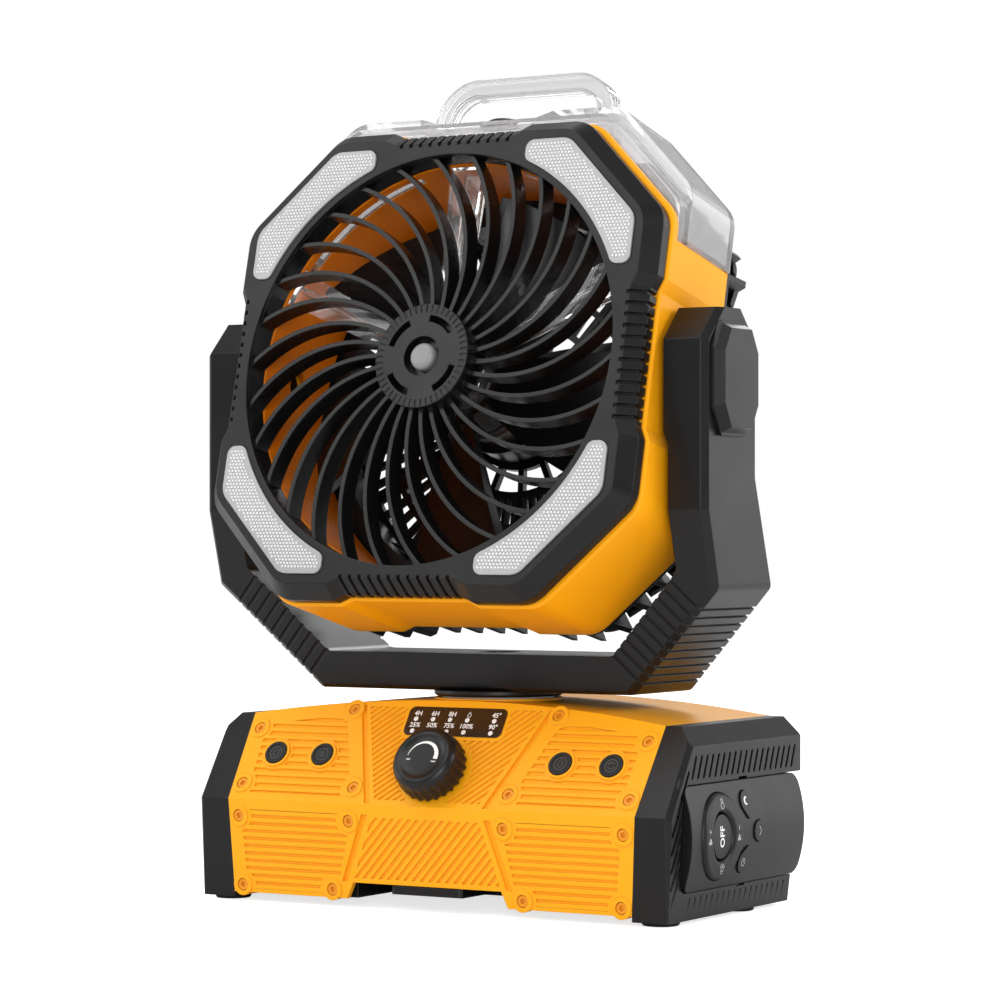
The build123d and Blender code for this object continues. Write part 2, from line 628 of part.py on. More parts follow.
def usb_sockets():
    half, middle = port_half - 0.2, (port_low_z + port_high_z) / 2
    plate = block(-half, half, port_y - 1.4, port_y + 1.2, port_low_z + 0.2, port_high_z - 0.2)
    for x, half in ((-7.5, 6.6), (8.0, 4.6)):
        plate -= block(x - half, x + half, 40, 60, middle - 2.7, middle + 2.7)
        shell = block(x - half, x + half, port_y - 14.0, port_y + 0.6, middle - 2.7, middle + 2.7)
        shell -= block(x - half + 0.5, x + half - 0.5, port_y - 12.0, 60, middle - 2.2, middle + 2.2)
        tongue = half - 1.4
        shell += block(x - tongue, x + tongue, port_y - 12.0, port_y - 1.5, middle - 0.9, middle + 0.9)
        plate += shell
    return plate


# ---------------------------------------------------------------- swing drive
def involute_gear(teeth, module, height, bore, phase, backlash=0.16):
    """Spur gear from involute flanks; phase turns it, in degrees."""
    pitch_radius = module * teeth / 2
    base_radius = pitch_radius * math.cos(math.radians(20))
    tip = pitch_radius + 0.9 * module
    root = pitch_radius - 1.2 * module
    flank_start = max(base_radius, root)

    def involute(radius):
        return math.sqrt((radius / base_radius) ** 2 - 1) - math.acos(base_radius / radius)

    half_pitch = math.pi / (2 * teeth) - backlash / (2 * pitch_radius)
    steps = 5
    radii = [flank_start + (tip - flank_start) * i / steps for i in range(steps + 1)]
    flank = [(r, half_pitch + involute(pitch_radius) - involute(r)) for r in radii]
    points = []
    for tooth in range(teeth):
        middle = math.radians(phase) + 2 * math.pi * tooth / teeth
        tooth_edge = [(r, middle - a) for r, a in flank] + [(r, middle + a) for r, a in reversed(flank)]
        if flank_start > root:
            tooth_edge = [(root, middle - flank[0][1]), *tooth_edge, (root, middle + flank[0][1])]
        points += tooth_edge
    outline = [(r * math.cos(a), r * math.sin(a)) for r, a in points]
    return extrude(polygon(outline) - Circle(bore), amount=height)


def swivel_gear():
    gear = involute_gear(gear_teeth, gear_module, gear_height, swivel_shaft_radius, 90.0)
    return Pos(0, 0, gear_low_z) * gear


def swing_pinion():
    phase = -90.0 + 180.0 / pinion_teeth
    pinion = involute_gear(pinion_teeth, gear_module, gear_height, pinion_shaft_radius, phase)
    pinion = Pos(0, drive_distance, gear_low_z) * pinion
    shaft = Pos(0, drive_distance, gear_low_z - 1) * Cylinder(pinion_shaft_radius, 2 * gear_height + 2)
    return pinion + shaft


def swing_motor():
    top = gear_low_z - 1.0
    low = top - swing_motor_height
    body = along_z(Circle(swing_motor_radius), low, top)
    body += along_z(SlotOverall(42, 7), top - 1.0, top)
    body -= along_z(Pos(17.5, 0) * Circle(1.7) + Pos(-17.5, 0) * Circle(1.7), top - 3, top + 3)
    body -= along_z(Circle(pinion_shaft_radius + run_gap), top - 9, top + 3)
    return Pos(0, drive_distance, 0) * body


def swivel_bearing():
    bush = along_z(Circle(bearing_radius), bearing_seat_z, disc_low_z - 0.1)
    bush += along_z(Circle(bearing_bore_radius), 70.0, bearing_seat_z)
    return bush - along_z(Circle(swivel_shaft_radius + run_gap), 60, 90)


def swivel_disc():
    disc = along_z(Circle(disc_radius), disc_low_z, disc_high_z)
    disc = chamfer(disc.edges().sort_by(Axis.Z)[0], 0.8)
    shaft = along_z(Circle(swivel_shaft_radius), swivel_shaft_low_z, disc_low_z + 1)
    return disc + shaft - along_z(Circle(cable_bore_radius), 50, 90)


def swivel_retainer():
    return along_z(Circle(retainer_radius) - Circle(swivel_shaft_radius), retainer_low_z, retainer_high_z)


# ---------------------------------------------------------------- yoke
def yoke_side_profile():
    """Side view of the yoke as a (y, z) face."""
    knee = arm_knee_z
    front = [(bar_front_y, yoke_bottom_z), (arm_front_y, knee), (arm_front_y, yoke_top_z - yoke_shoulder),
             (arm_front_y + yoke_shoulder, yoke_top_z)]
    rear = [(arm_rear_y - yoke_shoulder, yoke_top_z), (arm_rear_y, yoke_top_z - yoke_shoulder),
            (arm_rear_y, knee + 12), (bar_rear_y, yoke_bottom_z)]
    return polygon(front + rear)


def yoke_front_profile():
    """Front view of the U as an (x, z) face."""
    outer = [(yoke_outer_x, yoke_top_z), (yoke_outer_x, yoke_outer_corner_z),
             (yoke_bottom_x, yoke_bottom_z)]
    inner = [(yoke_bar_x, yoke_bar_top_z), (yoke_inner_x, yoke_inner_corner_z),
             (yoke_inner_x, pad_low_z), (pad_x, pad_low_z + pad_slope), (pad_x, yoke_top_z)]
    right = outer + [(-x, z) for x, z in reversed(outer)]
    loop = right + [(-x, z) for x, z in reversed(inner)] + inner
    face = polygon(loop)
    soft = [v for v in face.vertices() if yoke_bottom_z - 1 < v.Y < yoke_inner_corner_z + 1]
    return fillet(soft, 4.0)


def yoke_bevels():
    """Pairs of faces of the right arm with the bevel between them."""
    lean_y, lean_z = bar_front_y - arm_front_y, arm_knee_z - yoke_bottom_z
    front_lean = (Vector(0, -lean_z, -lean_y).normalized(), Vector(0, bar_front_y, yoke_bottom_z))
    front = (Vector(0, -1, 0), Vector(0, arm_front_y, 0))
    side = (Vector(1, 0, 0), Vector(yoke_outer_x, 0, 0))
    run_x, run_z = yoke_outer_x - yoke_bottom_x, yoke_outer_corner_z - yoke_bottom_z
    corner = (Vector(run_z, 0, -run_x).normalized(), Vector(yoke_bottom_x, 0, yoke_bottom_z))
    shoulder = (Vector(0, -1, 1).normalized(), Vector(0, arm_front_y, yoke_top_z - yoke_shoulder))
    under = (Vector(0, 0, -1), Vector(0, 0, yoke_bottom_z))
    return ((front, side, yoke_bevel), (front_lean, side, yoke_bevel), (front_lean, corner, yoke_bevel),
            (shoulder, side, yoke_bevel), (front_lean, under, 1.4))


def yoke_bracket():
    body = along_x(yoke_side_profile(), -120, 120) & along_y(yoke_front_profile(), -90, 90)
    for first, second, size in yoke_bevels():
        cut = bevel_cut(first, second, size)
        body -= [cut, mirrored(cut)]
    hollow = along_x(offset(yoke_side_profile(), amount=-yoke_wall, kind=Kind.INTERSECTION), -120, 120)
    hollow &= along_y(offset(yoke_front_profile(), amount=-yoke_wall, kind=Kind.INTERSECTION), -90, 90)
    pivot = head_pivot[1:]
    for side in (-1, 1):
        hollow -= rod(pivot_boss_radius, side * 88, side * 118, *pivot)
    hollow -= along_z(Circle(cable_bore_radius + 3.5), 60, 110)
    body -= hollow
    body -= yoke_grooves()
    for side in (-1, 1):
        body -= rod(axle_radius + run_gap, side * 84, side * 124, *pivot)
        body -= rod(10.0, side * (yoke_outer_x - 5), side * (yoke_outer_x + 1), *pivot)
    body -= along_x(flush_cover_face(press_gap), -yoke_outer_x - 5, -yoke_outer_x + flush_cover_depth)
    body -= along_z(Circle(cable_bore_radius), 60, 110)
    return body


def yoke_grooves():
    """Grooves across the two slanted corners, on the outer, front and rear faces."""
    run = (yoke_bottom_x - yoke_outer_x, yoke_bottom_z - yoke_outer_corner_z)
    length = math.hypot(*run)
    angle = math.degrees(math.atan2(run[1], run[0]))
    band = yoke_grow(0.5) - yoke_grow(-yoke_rib_size)
    slabs = []
    for i in range(yoke_rib_count):
        t = yoke_rib_start + i * yoke_rib_step
        x = yoke_outer_x + run[0] * t
        z = yoke_outer_corner_z + run[1] * t
        slab = Pos(x, 0, z) * Rot(0, -angle, 0) * Box(1.4, 140, 40)
        slabs.append(slab)
    right = [band & slab for slab in slabs]
    return right + [mirrored(cut) for cut in right]


def yoke_grow(amount):
    """Right-hand corner of the yoke, grown or shrunk all round except inside."""
    side = offset(yoke_side_profile(), amount=amount, kind=Kind.INTERSECTION)
    outer = [(yoke_outer_x + amount, 170), (yoke_outer_x + amount, yoke_outer_corner_z - 0.41 * amount),
             (yoke_bottom_x + 0.41 * amount, yoke_bottom_z - amount), (30, yoke_bottom_z - amount),
             (30, 104), (60, 104), (90, 134), (90, 170)]
    return along_x(side, 20, 130) & along_y(polygon(outer), -90, 90)


def octagon_cover(half_y, half_z, corner):
    """Tall octagon for the pivot covers as a (y, z) face."""
    narrow = 0.6 * corner
    points = [(-half_y, -half_z + corner), (-half_y + narrow, -half_z), (half_y - narrow, -half_z),
              (half_y, -half_z + corner), (half_y, half_z - corner), (half_y - narrow, half_z),
              (-half_y + narrow, half_z), (-half_y, half_z - corner)]
    return Pos(head_pivot[1] - 0.6, head_pivot[2] - 1.0) * polygon(points)


def flush_cover_face(grow=0.0):
    return octagon_cover(flush_half_y + grow, flush_half_z + grow, flush_corner)


def right_pivot_cover():
    """Raised cover with sloping sides."""
    step_x = yoke_outer_x + cover_step
    body = along_x(octagon_cover(cover_half_y, cover_half_z, cover_corner), yoke_outer_x, step_x)
    faces = []
    for x, inset in ((step_x, 0.6), (cover_x, 1.8)):
        face = octagon_cover(cover_half_y - inset, cover_half_z - 1.67 * inset, cover_corner - 0.75 * inset)
        faces.append(Plane(origin=(x, 0, 0), x_dir=(0, 1, 0), z_dir=(1, 0, 0)) * face)
    body += loft(faces)
    return body - rod(9.0, yoke_outer_x - 3, yoke_outer_x + 3, *head_pivot[1:])


def left_pivot_cover():
    """Flat cover let into the arm."""
    return along_x(flush_cover_face(), -yoke_outer_x, -yoke_outer_x + flush_cover_depth)


# ---------------------------------------------------------------- head outlines
def notched_octagon(half, diagonal, radius=corner_radius, notch=notch_depth, top=None):
    """Octagon with a shallow notch in the middle of each side."""
    quarter = [(half, -(diagonal - half)), (half, -notch_outer), (half - notch, -notch_inner),
               (half - notch, notch_inner), (half, notch_outer), (half, diagonal - half)]
    points = []
    for turn in range(4):
        c, s = ((1, 0), (0, 1), (-1, 0), (0, -1))[turn]
        points += [(x * c - z * s, x * s + z * c) for x, z in quarter]
    face = polygon(points)
    limit = diagonal - half
    corners = [v for v in face.vertices()
               if min(abs(v.X), abs(v.Y)) > limit - 0.1 and max(abs(v.X), abs(v.Y)) > half - 0.1]
    return fillet(corners, radius) if radius else face


def lens_outline(inset=0.0):
    """Upper right lens: two straight sides, a cut corner and an arc round the grille."""
    half, diagonal = lens_half - inset, lens_diagonal - 1.41 * inset
    radius, end = lens_inner_radius + inset, lens_end + inset
    reach = math.sqrt(radius ** 2 - end ** 2)
    arc = ThreePointArc((reach, end), (radius * math.cos(math.pi / 4), radius * math.sin(math.pi / 4)),
                        (end, reach))
    rest = Polyline((end, reach), (end, half), (diagonal - half, half), (half, diagonal - half),
                    (half, end), (reach, end))
    face = make_face([arc, *rest.edges()])
    corners = [v for v in face.vertices() if min(v.X, v.Y) > end + 1]
    face = fillet(corners, 8.0)
    ends = [v for v in face.vertices() if min(v.X, v.Y) < end + 0.1]
    return fillet(ends, 0.46 * (half - reach))


def four_corners(shape):
    """The upper right shape and its copies clockwise round the front."""
    return [Rot(0, 90 * i, 0) * shape for i in range(4)]


# ---------------------------------------------------------------- head pieces
def bezel_solid(shrink=0.0):
    half, face_half, lip_half = bezel_half - shrink, bezel_face_half - shrink, bezel_lip_half - shrink
    diagonal = bezel_diagonal - 1.41 * shrink
    step = (half - face_half) * 1.41
    main = notched_octagon(half, diagonal)
    front = notched_octagon(face_half, diagonal - step)
    lip = notched_octagon(lip_half, diagonal - (half - lip_half) * 1.41)
    mid_y = bezel_rear_y - 0.8
    body = frustum_y(front, front_y + shrink, main, rim_y)
    body += along_y(main, rim_y, mid_y)
    return body + frustum_y(main, mid_y, lip, bezel_rear_y)


def head_bezel():
    body = bezel_solid()
    skin = bezel_solid() - bezel_solid(1.2)
    slabs = []
    for i in range(notch_grooves):
        x = (i - (notch_grooves - 1) / 2) * (2 * notch_inner - 4) / (notch_grooves - 1)
        slabs.append(Pos(x, -30, 89.2) * Rot(0, -13, 0) * Box(notch_groove_width, 30, 9.8))
    grooves = [skin & slab for slab in slabs]
    for groove in grooves:
        body -= four_corners(groove)
    hollow = notched_octagon(88.6, 141.4, 10.0, 2.0) - Circle(85.6)
    body -= along_y(hollow, -29.0, bezel_rear_y + 1)
    body -= along_y(Circle(opening_radius), -50, 0)
    body -= along_y(Circle(grille_outer_radius + 0.1), front_y + 1.8, 0)
    pocket = along_y(lens_outline(), -40, -33.2)
    board = along_y(lens_outline(1.6), -40, -31.2)
    body -= four_corners(pocket)
    body -= four_corners(board)
    for i in range(4):
        post = Pos(cover_screw_reach, -26.5, 0) * Rot(90, 0, 0) * Cylinder(screw_boss_radius, 6.0)
        body += Rot(0, 45 + 90 * i, 0) * post
    return body


def front_grille():
    ring = along_y(Circle(grille_outer_radius) - Circle(opening_radius), front_y + 1.9, bezel_rear_y - 0.4)
    hub = along_y(Circle(hub_radius) - Circle(16.6), -36.6, vane_rear_y - 1)
    vane = along_y(vane_section(), vane_front_y, vane_rear_y)
    body = ring + hub
    body += [Rot(0, -360 / vane_count * i, 0) * vane for i in range(vane_count)]
    return body


def vane_section():
    """One swept vane: a circular arc that leaves the hub radially and sweeps over at the rim."""
    start_turn = math.radians(1.5)
    cx = vane_start - vane_arc_radius * math.sin(start_turn)
    cz = vane_arc_radius * math.cos(start_turn)
    half = vane_thickness / 2
    first = math.radians(-90) + start_turn
    last = first + math.radians(vane_sweep)
    ring = []
    for radius in (vane_arc_radius - half, vane_arc_radius + half):
        ring.append([(cx + radius * math.cos(a), cz + radius * math.sin(a))
                     for a in (first, (first + last) / 2, last)])
    inner, outer = ring
    edges = [ThreePointArc(*inner), Line(inner[2], outer[2]), ThreePointArc(*outer),
             Line(outer[0], inner[0])]
    face = Rot(0, 0, vane_phase) * make_face(edges)
    return face & Circle(opening_radius + 0.6)


def hub_cap():
    cap = along_y(Circle(16.5), -37.4, -28.0)
    cap += along_y(Circle(hub_radius) - Circle(16.0), -37.4, -36.6)
    slots = Sketch()
    for start in (38, 118, 208, 298):
        slots += ring_sector(13.4, 16.0, start, start + 46)
    cap -= along_y(slots, -40, -30.5)
    cap -= along_y(Circle(hub_eye_radius), -40, -33.0)
    knurls = []
    for i in range(48):
        turn = 360 / 48 * i
        knurls.append(Rot(0, turn, 0) * Pos(18.6, -37.4, 0) * Box(2.8, 0.7, 0.7))
    cap -= knurls
    cap -= along_y(Circle(dome_radius - 2), -36, -20)
    return cap


def ring_sector(inner, outer, start, end):
    """Part of a ring between two angles, with square ends."""
    a, b = math.radians(start), math.radians(end)
    m = (a + b) / 2
    points = [[(r * math.cos(t), r * math.sin(t)) for t in (a, m, b)] for r in (inner, outer)]
    low, high = points
    edges = [ThreePointArc(*low), Line(low[2], high[2]), ThreePointArc(*high), Line(high[0], low[0])]
    return make_face(edges)


def nozzle_dome():
    dome = Pos(0, -33.0 - 2.5, 0) * Rot(90, 0, 0) * Cylinder(dome_radius, 5.0)
    dome = fillet(dome.edges().sort_by(Axis.Y)[0], 2.2)
    return dome + Pos(0, -31, 0) * Rot(90, 0, 0) * Cylinder(dome_radius - 2.1, 5)


def head_casing():
    main = notched_octagon(casing_half, casing_diagonal)
    lip = notched_octagon(casing_half - casing_lip, casing_diagonal - 1.41 * casing_lip)
    inner = notched_octagon(casing_half - wall, casing_diagonal - 1.41 * wall, corner_radius - wall)
    body = frustum_y(lip, bezel_rear_y, main, bezel_rear_y + casing_lip)
    body += along_y(main, bezel_rear_y + casing_lip, casing_rear_y)
    body -= along_y(inner, bezel_rear_y + 2.0, 60)
    above = block(-120, 120, tank_step_y - 0.2, 60, tank_joint_z, 130)
    body -= above
    for side in (-1, 1):
        x0, x1 = sorted((side * 60, side * (casing_half - 1)))
        body += block(x0, x1, tank_step_y - 0.2, casing_rear_y, tank_joint_z - wall, tank_joint_z)
    body += along_y(Circle(duct_outer_radius), bezel_rear_y, duct_rear_y)
    body -= along_y(Circle(duct_inner_radius), -60, 60)
    for start in (slot_low_angle, 180 - slot_high_angle):
        sector = ring_sector(70, 90, start, start + slot_high_angle - slot_low_angle)
        body -= along_y(sector, slot_front_y, slot_front_y + slot_width)
    for side in (-1, 1):
        boss = rod(pivot_boss_radius, side * (casing_half - 9.5), side * (casing_half - wall), 0, 0)
        body += boss & along_y(inner, -60, 60)
        body -= rod(axle_radius, side * 78, side * 98, 0, 0)
    return body


def tank_outline(shrink=0.0, step=False):
    """Upper part of the head as an (x, z) face that wraps the duct."""
    half = (tank_step_half if step else tank_half) - shrink
    diagonal = (tank_step_diagonal if step else tank_diagonal) - 1.41 * shrink
    top = (tank_step_top if step else tank_top_z) - shrink
    low = tank_joint_z + 0.2 + shrink
    notch = 0.0 if step else saddle_depth
    right = [(half, low), (half, diagonal - half), (diagonal - top, top), (saddle_outer, top),
             (saddle_inner, top - notch)]
    points = right + [(-x, z) for x, z in reversed(right)]
    if step:
        points = right[:3] + [(-x, z) for x, z in reversed(right[:3])]
    face = polygon(points)
    corners = [v for v in face.vertices() if v.Y > low + 5 and abs(v.X) > notch_outer + 5]
    return fillet(corners, 13.0 - shrink) - Circle(duct_outer_radius + 0.3 + shrink)


def clear_tank():
    body = along_y(tank_outline(), tank_front_y, casing_rear_y)
    body += along_y(tank_outline(0, True), tank_step_y, tank_front_y)
    hollow = along_y(tank_outline(2.2), tank_front_y + 2.2, casing_rear_y - 2.2)
    hollow += along_y(tank_outline(2.2, True), tank_step_y + 2.2, tank_front_y + 3)
    leg_half = handle_bar / 2
    sleeves = []
    pockets = []
    for side in (-1, 1):
        x = side * (handle_half - leg_half)
        sleeves.append(block(x - leg_half - 2, x + leg_half + 2, handle_front_y - 2, 40,
                             handle_foot_z - 2, 120))
        pockets.append(block(x - leg_half - 0.1, x + leg_half + 0.1, handle_front_y - 0.1, 40,
                             handle_foot_z, 120))
    hollow -= sleeves
    body -= hollow
    body -= pockets
    neck = Pos(0, filler_y, tank_top_z - 6.3) * Cylinder(filler_radius + 2.0, 7.0)
    body += neck
    body -= Pos(0, filler_y, tank_top_z) * Cylinder(filler_radius + 0.1, 30.0)
    for start in (slot_low_angle, 180 - slot_high_angle):
        sector = ring_sector(duct_inner_radius + 0.1, duct_outer_radius + 1.5, start + 0.5,
                             start + slot_high_angle - slot_low_angle - 0.5)
        body += along_y(sector, slot_front_y + 0.2, slot_front_y + slot_width - 0.2)
    return body


def carry_handle():
    outer_radius = 18.0
    outer = [(handle_half, handle_foot_z), (handle_half, handle_top_z)]
    loop = outer + [(-x, z) for x, z in reversed(outer)]
    face = polygon(loop)
    face = fillet([v for v in face.vertices() if v.Y > handle_top_z - 1], outer_radius)
    inner_half = handle_half - handle_bar
    hole = polygon([(inner_half, handle_foot_z - 1), (inner_half, handle_top_z - handle_bar),
                    (-inner_half, handle_top_z - handle_bar), (-inner_half, handle_foot_z - 1)])
    hole = fillet([v for v in hole.vertices() if v.Y > handle_foot_z], outer_radius - handle_bar)
    body = along_y(face - hole, handle_front_y, handle_rear_y)
    skin = (face - hole) - (offset(face, amount=-0.7) - offset(hole, amount=0.7))
    for i in range(1, 4):
        y = handle_front_y + i * (handle_rear_y - handle_front_y) / 4
        body -= along_y(skin, y - 0.45, y + 0.45)
    return body


def filler_cap():
    cap = Pos(0, filler_y, tank_top_z - 0.2) * Cylinder(filler_radius + 1.8, 4.4)
    cap = fillet(cap.edges().sort_by(Axis.Z)[-1], 1.6)
    return cap + Pos(0, filler_y, tank_top_z - 5.4) * Cylinder(filler_radius - 0.3, 7.0)


def mist_manifold():
    """Clear channels from the tank to the pod behind the hub."""
    pod = Circle(19.0) - Circle(12.0)
    arms = Sketch() + pod
    for angle in arm_angles:
        arm = polygon([(15, -arm_inner_width / 2), (79.8, -arm_outer_width / 2),
                       (79.8, arm_outer_width / 2), (15, arm_inner_width / 2)])
        arms += Rot(0, 0, angle) * arm
    arms = (arms & Circle(duct_inner_radius - 0.1)) - Circle(12.0)
    body = along_y(arms, manifold_front_y, manifold_rear_y)
    for angle in arm_angles:
        bore = Rot(0, -angle, 0) * Pos(48, (manifold_front_y + manifold_rear_y) / 2, 0)
        body -= bore * Rot(0, 90, 0) * Cylinder(1.4, 58)
    return body


def impeller():
    hub = along_y(Circle(blade_hub_radius), impeller_front_y + 1, impeller_rear_y)
    hub = fillet(hub.edges().sort_by(Axis.Y)[0], 4.0)
    hub -= along_y(Circle(blade_hub_radius - 2.2), impeller_front_y + 5, 20)
    hub += along_y(Circle(5.0), impeller_front_y + 4, impeller_rear_y)
    blade = blade_solid()
    reach = along_y(Circle(blade_tip_radius) - Circle(blade_hub_radius - 1.5), impeller_front_y,
                    impeller_rear_y)
    blade = blade & reach
    body = hub + [Rot(0, 360 / blade_count * i + 20, 0) * blade for i in range(blade_count)]
    body -= along_y(Circle(motor_shaft_radius), -60, 60)
    return body


def blade_solid():
    """Broad pitched blade that runs along +X, twisted from root to tip."""
    middle = (impeller_front_y + impeller_rear_y) / 2
    sections = []
    for radius, chord, pitch, sweep in ((14, 24, 46, 0), (45, 48, 30, 4), (79, 62, 20, 12)):
        centre = (radius, middle, sweep)
        plane = Plane(origin=centre, x_dir=(0, 0, 1), z_dir=(1, 0, 0))
        sections.append(plane * Rot(0, 0, pitch) * Rectangle(chord, 1.9))
    return loft(sections)


def motor_shaft():
    shaft = along_y(Circle(motor_shaft_radius), impeller_front_y + 1.6, motor_rear_y - 4)
    nut = along_y(RegularPolygon(4.2, 6), impeller_front_y - 2.2, impeller_front_y + 1.0)
    return shaft + nut


def fan_motor():
    body = along_y(Circle(motor_radius), motor_front_y, motor_rear_y)
    body = fillet(body.edges().sort_by(Axis.Y)[0], 2.0)
    body += along_y(Circle(7.0), motor_front_y - 2.4, motor_front_y + 1)
    return body - along_y(Circle(motor_shaft_radius + run_gap), -60, motor_rear_y - 3)


def louvre(turn, plate_zone, wall_zone):
    """One radial plate of the rear cover and the leaning wall that hangs from its rear edge."""
    root, tip = flange_rear_y - 0.5, louvre_tip_y
    plate = polygon([(louvre_cant, root), (louvre_cant + louvre_plate, root), (louvre_plate, tip),
                     (0, tip)])
    rear = polygon([(0.5, tip - 0.3), (louvre_plate, tip - 0.3), (louvre_drop, tip - louvre_lean),
                    (louvre_drop - 1.6, tip - louvre_lean - 2.2), (1.0, tip - 3.0)])
    side = Plane(origin=(0, 0, 0), x_dir=(0, 0, -1), z_dir=(1, 0, 0))
    place = Rot(0, -turn, 0) * Pos(70, 0, 0) * side.location
    return [(place * extrude(face, amount=50)) & zone
            for face, zone in ((plate, plate_zone), (rear, wall_zone))]


def rear_grille():
    outline = notched_octagon(casing_half - 0.6, casing_diagonal - 0.9)
    flange = along_y(outline - Circle(77.0), casing_rear_y, flange_rear_y)
    zones = []
    for inset, radius in ((1.0, 73.5), (1.0 + louvre_setback, louvre_inner_radius)):
        trim = notched_octagon(casing_half - 0.6 - inset, casing_diagonal - 0.9 - 1.41 * inset)
        zones.append(along_y(trim - Circle(radius), flange_rear_y - 0.5, 60))
    louvres = []
    for i in range(louvre_count):
        louvres += louvre(360 / louvre_count * (i + 0.4), *zones)
    screw_wells = [Rot(0, 45 + 90 * i, 0) * Pos(cover_screw_reach, 40 + flange_rear_y, 0) * Rot(90, 0, 0)
                   * Cylinder(cover_screw_radius + 0.4, 80) for i in range(4)]
    rings = Sketch()
    for radius in (74.6, 62.0, 49.0, 36.0):
        rings += Circle(radius) - Circle(radius - 2.6)
    for i in range(16):
        rings += (Rot(0, 0, 22.5 * i + 6) * Pos(49, 0) * Rectangle(52, 2.4))
    rings += Circle(24.5)
    back = along_y(rings, back_plate_y - 1.5, back_plate_y + 1.5)
    cup = along_y(Circle(22.0) - Circle(motor_radius + 0.1), motor_rear_y - 12, back_plate_y)
    cup += along_y(Circle(22.0), motor_rear_y, back_plate_y)
    collar = along_y(Circle(76.0) - Circle(73.4), flange_rear_y + 1.0, back_plate_y + 1.5)
    vents = []
    for i in range(20):
        vents.append(Rot(0, -18 * i, 0) * Pos(75, 34, 0) * Box(10, 8.4, 12))
    body = flange + louvres + back + cup + (collar - vents)
    body += along_y(Circle(78.0) - Circle(73.4), flange_rear_y - 3, flange_rear_y + 2)
    return body - screw_wells


def pivot_hub(side):
    """Flanged axle between the head and one yoke arm."""
    low, high = axle_inner_x, axle_outer_x
    shape = rod(hub_flange_radius, side * (casing_half - notch_depth), side * (pad_x - free_gap), 0, 0)
    shape += rod(axle_radius, side * low, side * high, 0, 0)
    return shape - rod(pivot_screw_radius, side * (low - 4), side * (high + 4), 0, 0)


def pivot_nuts():
    """Screwed washers that hold each axle in its arm."""
    nuts = []
    for side in (-1, 1):
        nut = rod(8.2, side * axle_outer_x, side * (axle_outer_x + 1.0), 0, 0)
        nut += rod(4.2, side * (axle_outer_x + 0.7), side * (axle_outer_x + 1.7), 0, 0)
        nut += rod(pivot_screw_radius, side * (axle_outer_x - 12.5), side * (axle_outer_x + 0.5), 0, 0)
        nuts.append(nut)
    return Compound(children=nuts)


def lens_plate():
    return along_y(lens_outline(0.12), -36.1, -33.2)


def led_board():
    return along_y(lens_outline(1.8), -32.4, -31.2)


def cover_screws():
    """Four cross-head screws that hold the rear cover on the casing."""
    screws = []
    for i in range(4):
        head = Cylinder(cover_screw_radius, 1.6) - Pos(0, 0, 0.8) * cross_slot()
        place = Rot(0, 45 + 90 * i, 0) * Pos(cover_screw_reach, flange_rear_y + 0.8, 0)
        screws.append(place * Rot(-90, 0, 0) * head)
    return Compound(children=screws)


# ---------------------------------------------------------------- assembly
def make_base():
    keep("base_shell", base_shell())
    keep("base_floor", base_floor())
    keep("left_end_cap", left_end_cap())
    keep("right_end_cap", right_end_cap())
    keep("base_feet", base_feet())
    keep("panel_screws", panel_screws())
    keep("floor_screws", floor_screws())
    keep("indicator_window", indicator_window())
    keep("control_board", control_board())
    keep("rotary_encoder", rotary_encoder())
    keep("battery_cells", battery_cells())
    keep("battery_holder", battery_holder())
    keep("usb_sockets", usb_sockets())
    keep("swing_motor", swing_motor())
    keep("swivel_bearing", swivel_bearing())
    keep("swing_pinion", swing_pinion())
    keep("hanging_bail", hanging_bail())
    keep("control_knob", control_knob())
    for name, x in zip(("power", "light", "mist", "swing"), button_x):
        keep(name + "_button", button(x))
    remote_pieces()


def make_yoke():
    keep("yoke_bracket", yoke_bracket())
    keep("swivel_disc", swivel_disc())
    keep("swivel_gear", swivel_gear())
    keep("swivel_retainer", swivel_retainer())
    keep("left_pivot_cover", left_pivot_cover())
    keep("right_pivot_cover", right_pivot_cover())


def make_head():
    keep_head("head_bezel", head_bezel())
    keep_head("front_grille", front_grille())
    keep_head("hub_cap", hub_cap())
    keep_head("nozzle_dome", nozzle_dome())
    keep_head("head_casing", head_casing())
    keep_head("clear_tank", clear_tank())
    keep_head("carry_handle", carry_handle())
    keep_head("filler_cap", filler_cap())
    keep_head("mist_manifold", mist_manifold())
    keep_head("rear_grille", rear_grille())
    keep_head("fan_motor", fan_motor())
    keep_head("impeller", impeller())
    keep_head("motor_shaft", motor_shaft())
    keep_head("left_pivot_hub", pivot_hub(-1))
    keep_head("right_pivot_hub", pivot_hub(1))
    keep_head("pivot_nuts", pivot_nuts())
    keep_head("cover_screws", cover_screws())
    keep_head("led_boards", Compound(children=four_corners(led_board())))
    corners = ("right_upper", "right_lower", "left_lower", "left_upper")
    for name, lens in zip(corners, four_corners(lens_plate())):
        keep_head(name + "_lens", lens)


make_base()
make_yoke()
make_head()
for name, shape in nodes.items():
    export_step(shape, f"parts/{name}.step")
print(len(nodes), "nodes")
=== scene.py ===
import math

import bmesh
import bpy
from mathutils import Matrix, Vector
from mathutils.bvhtree import BVHTree


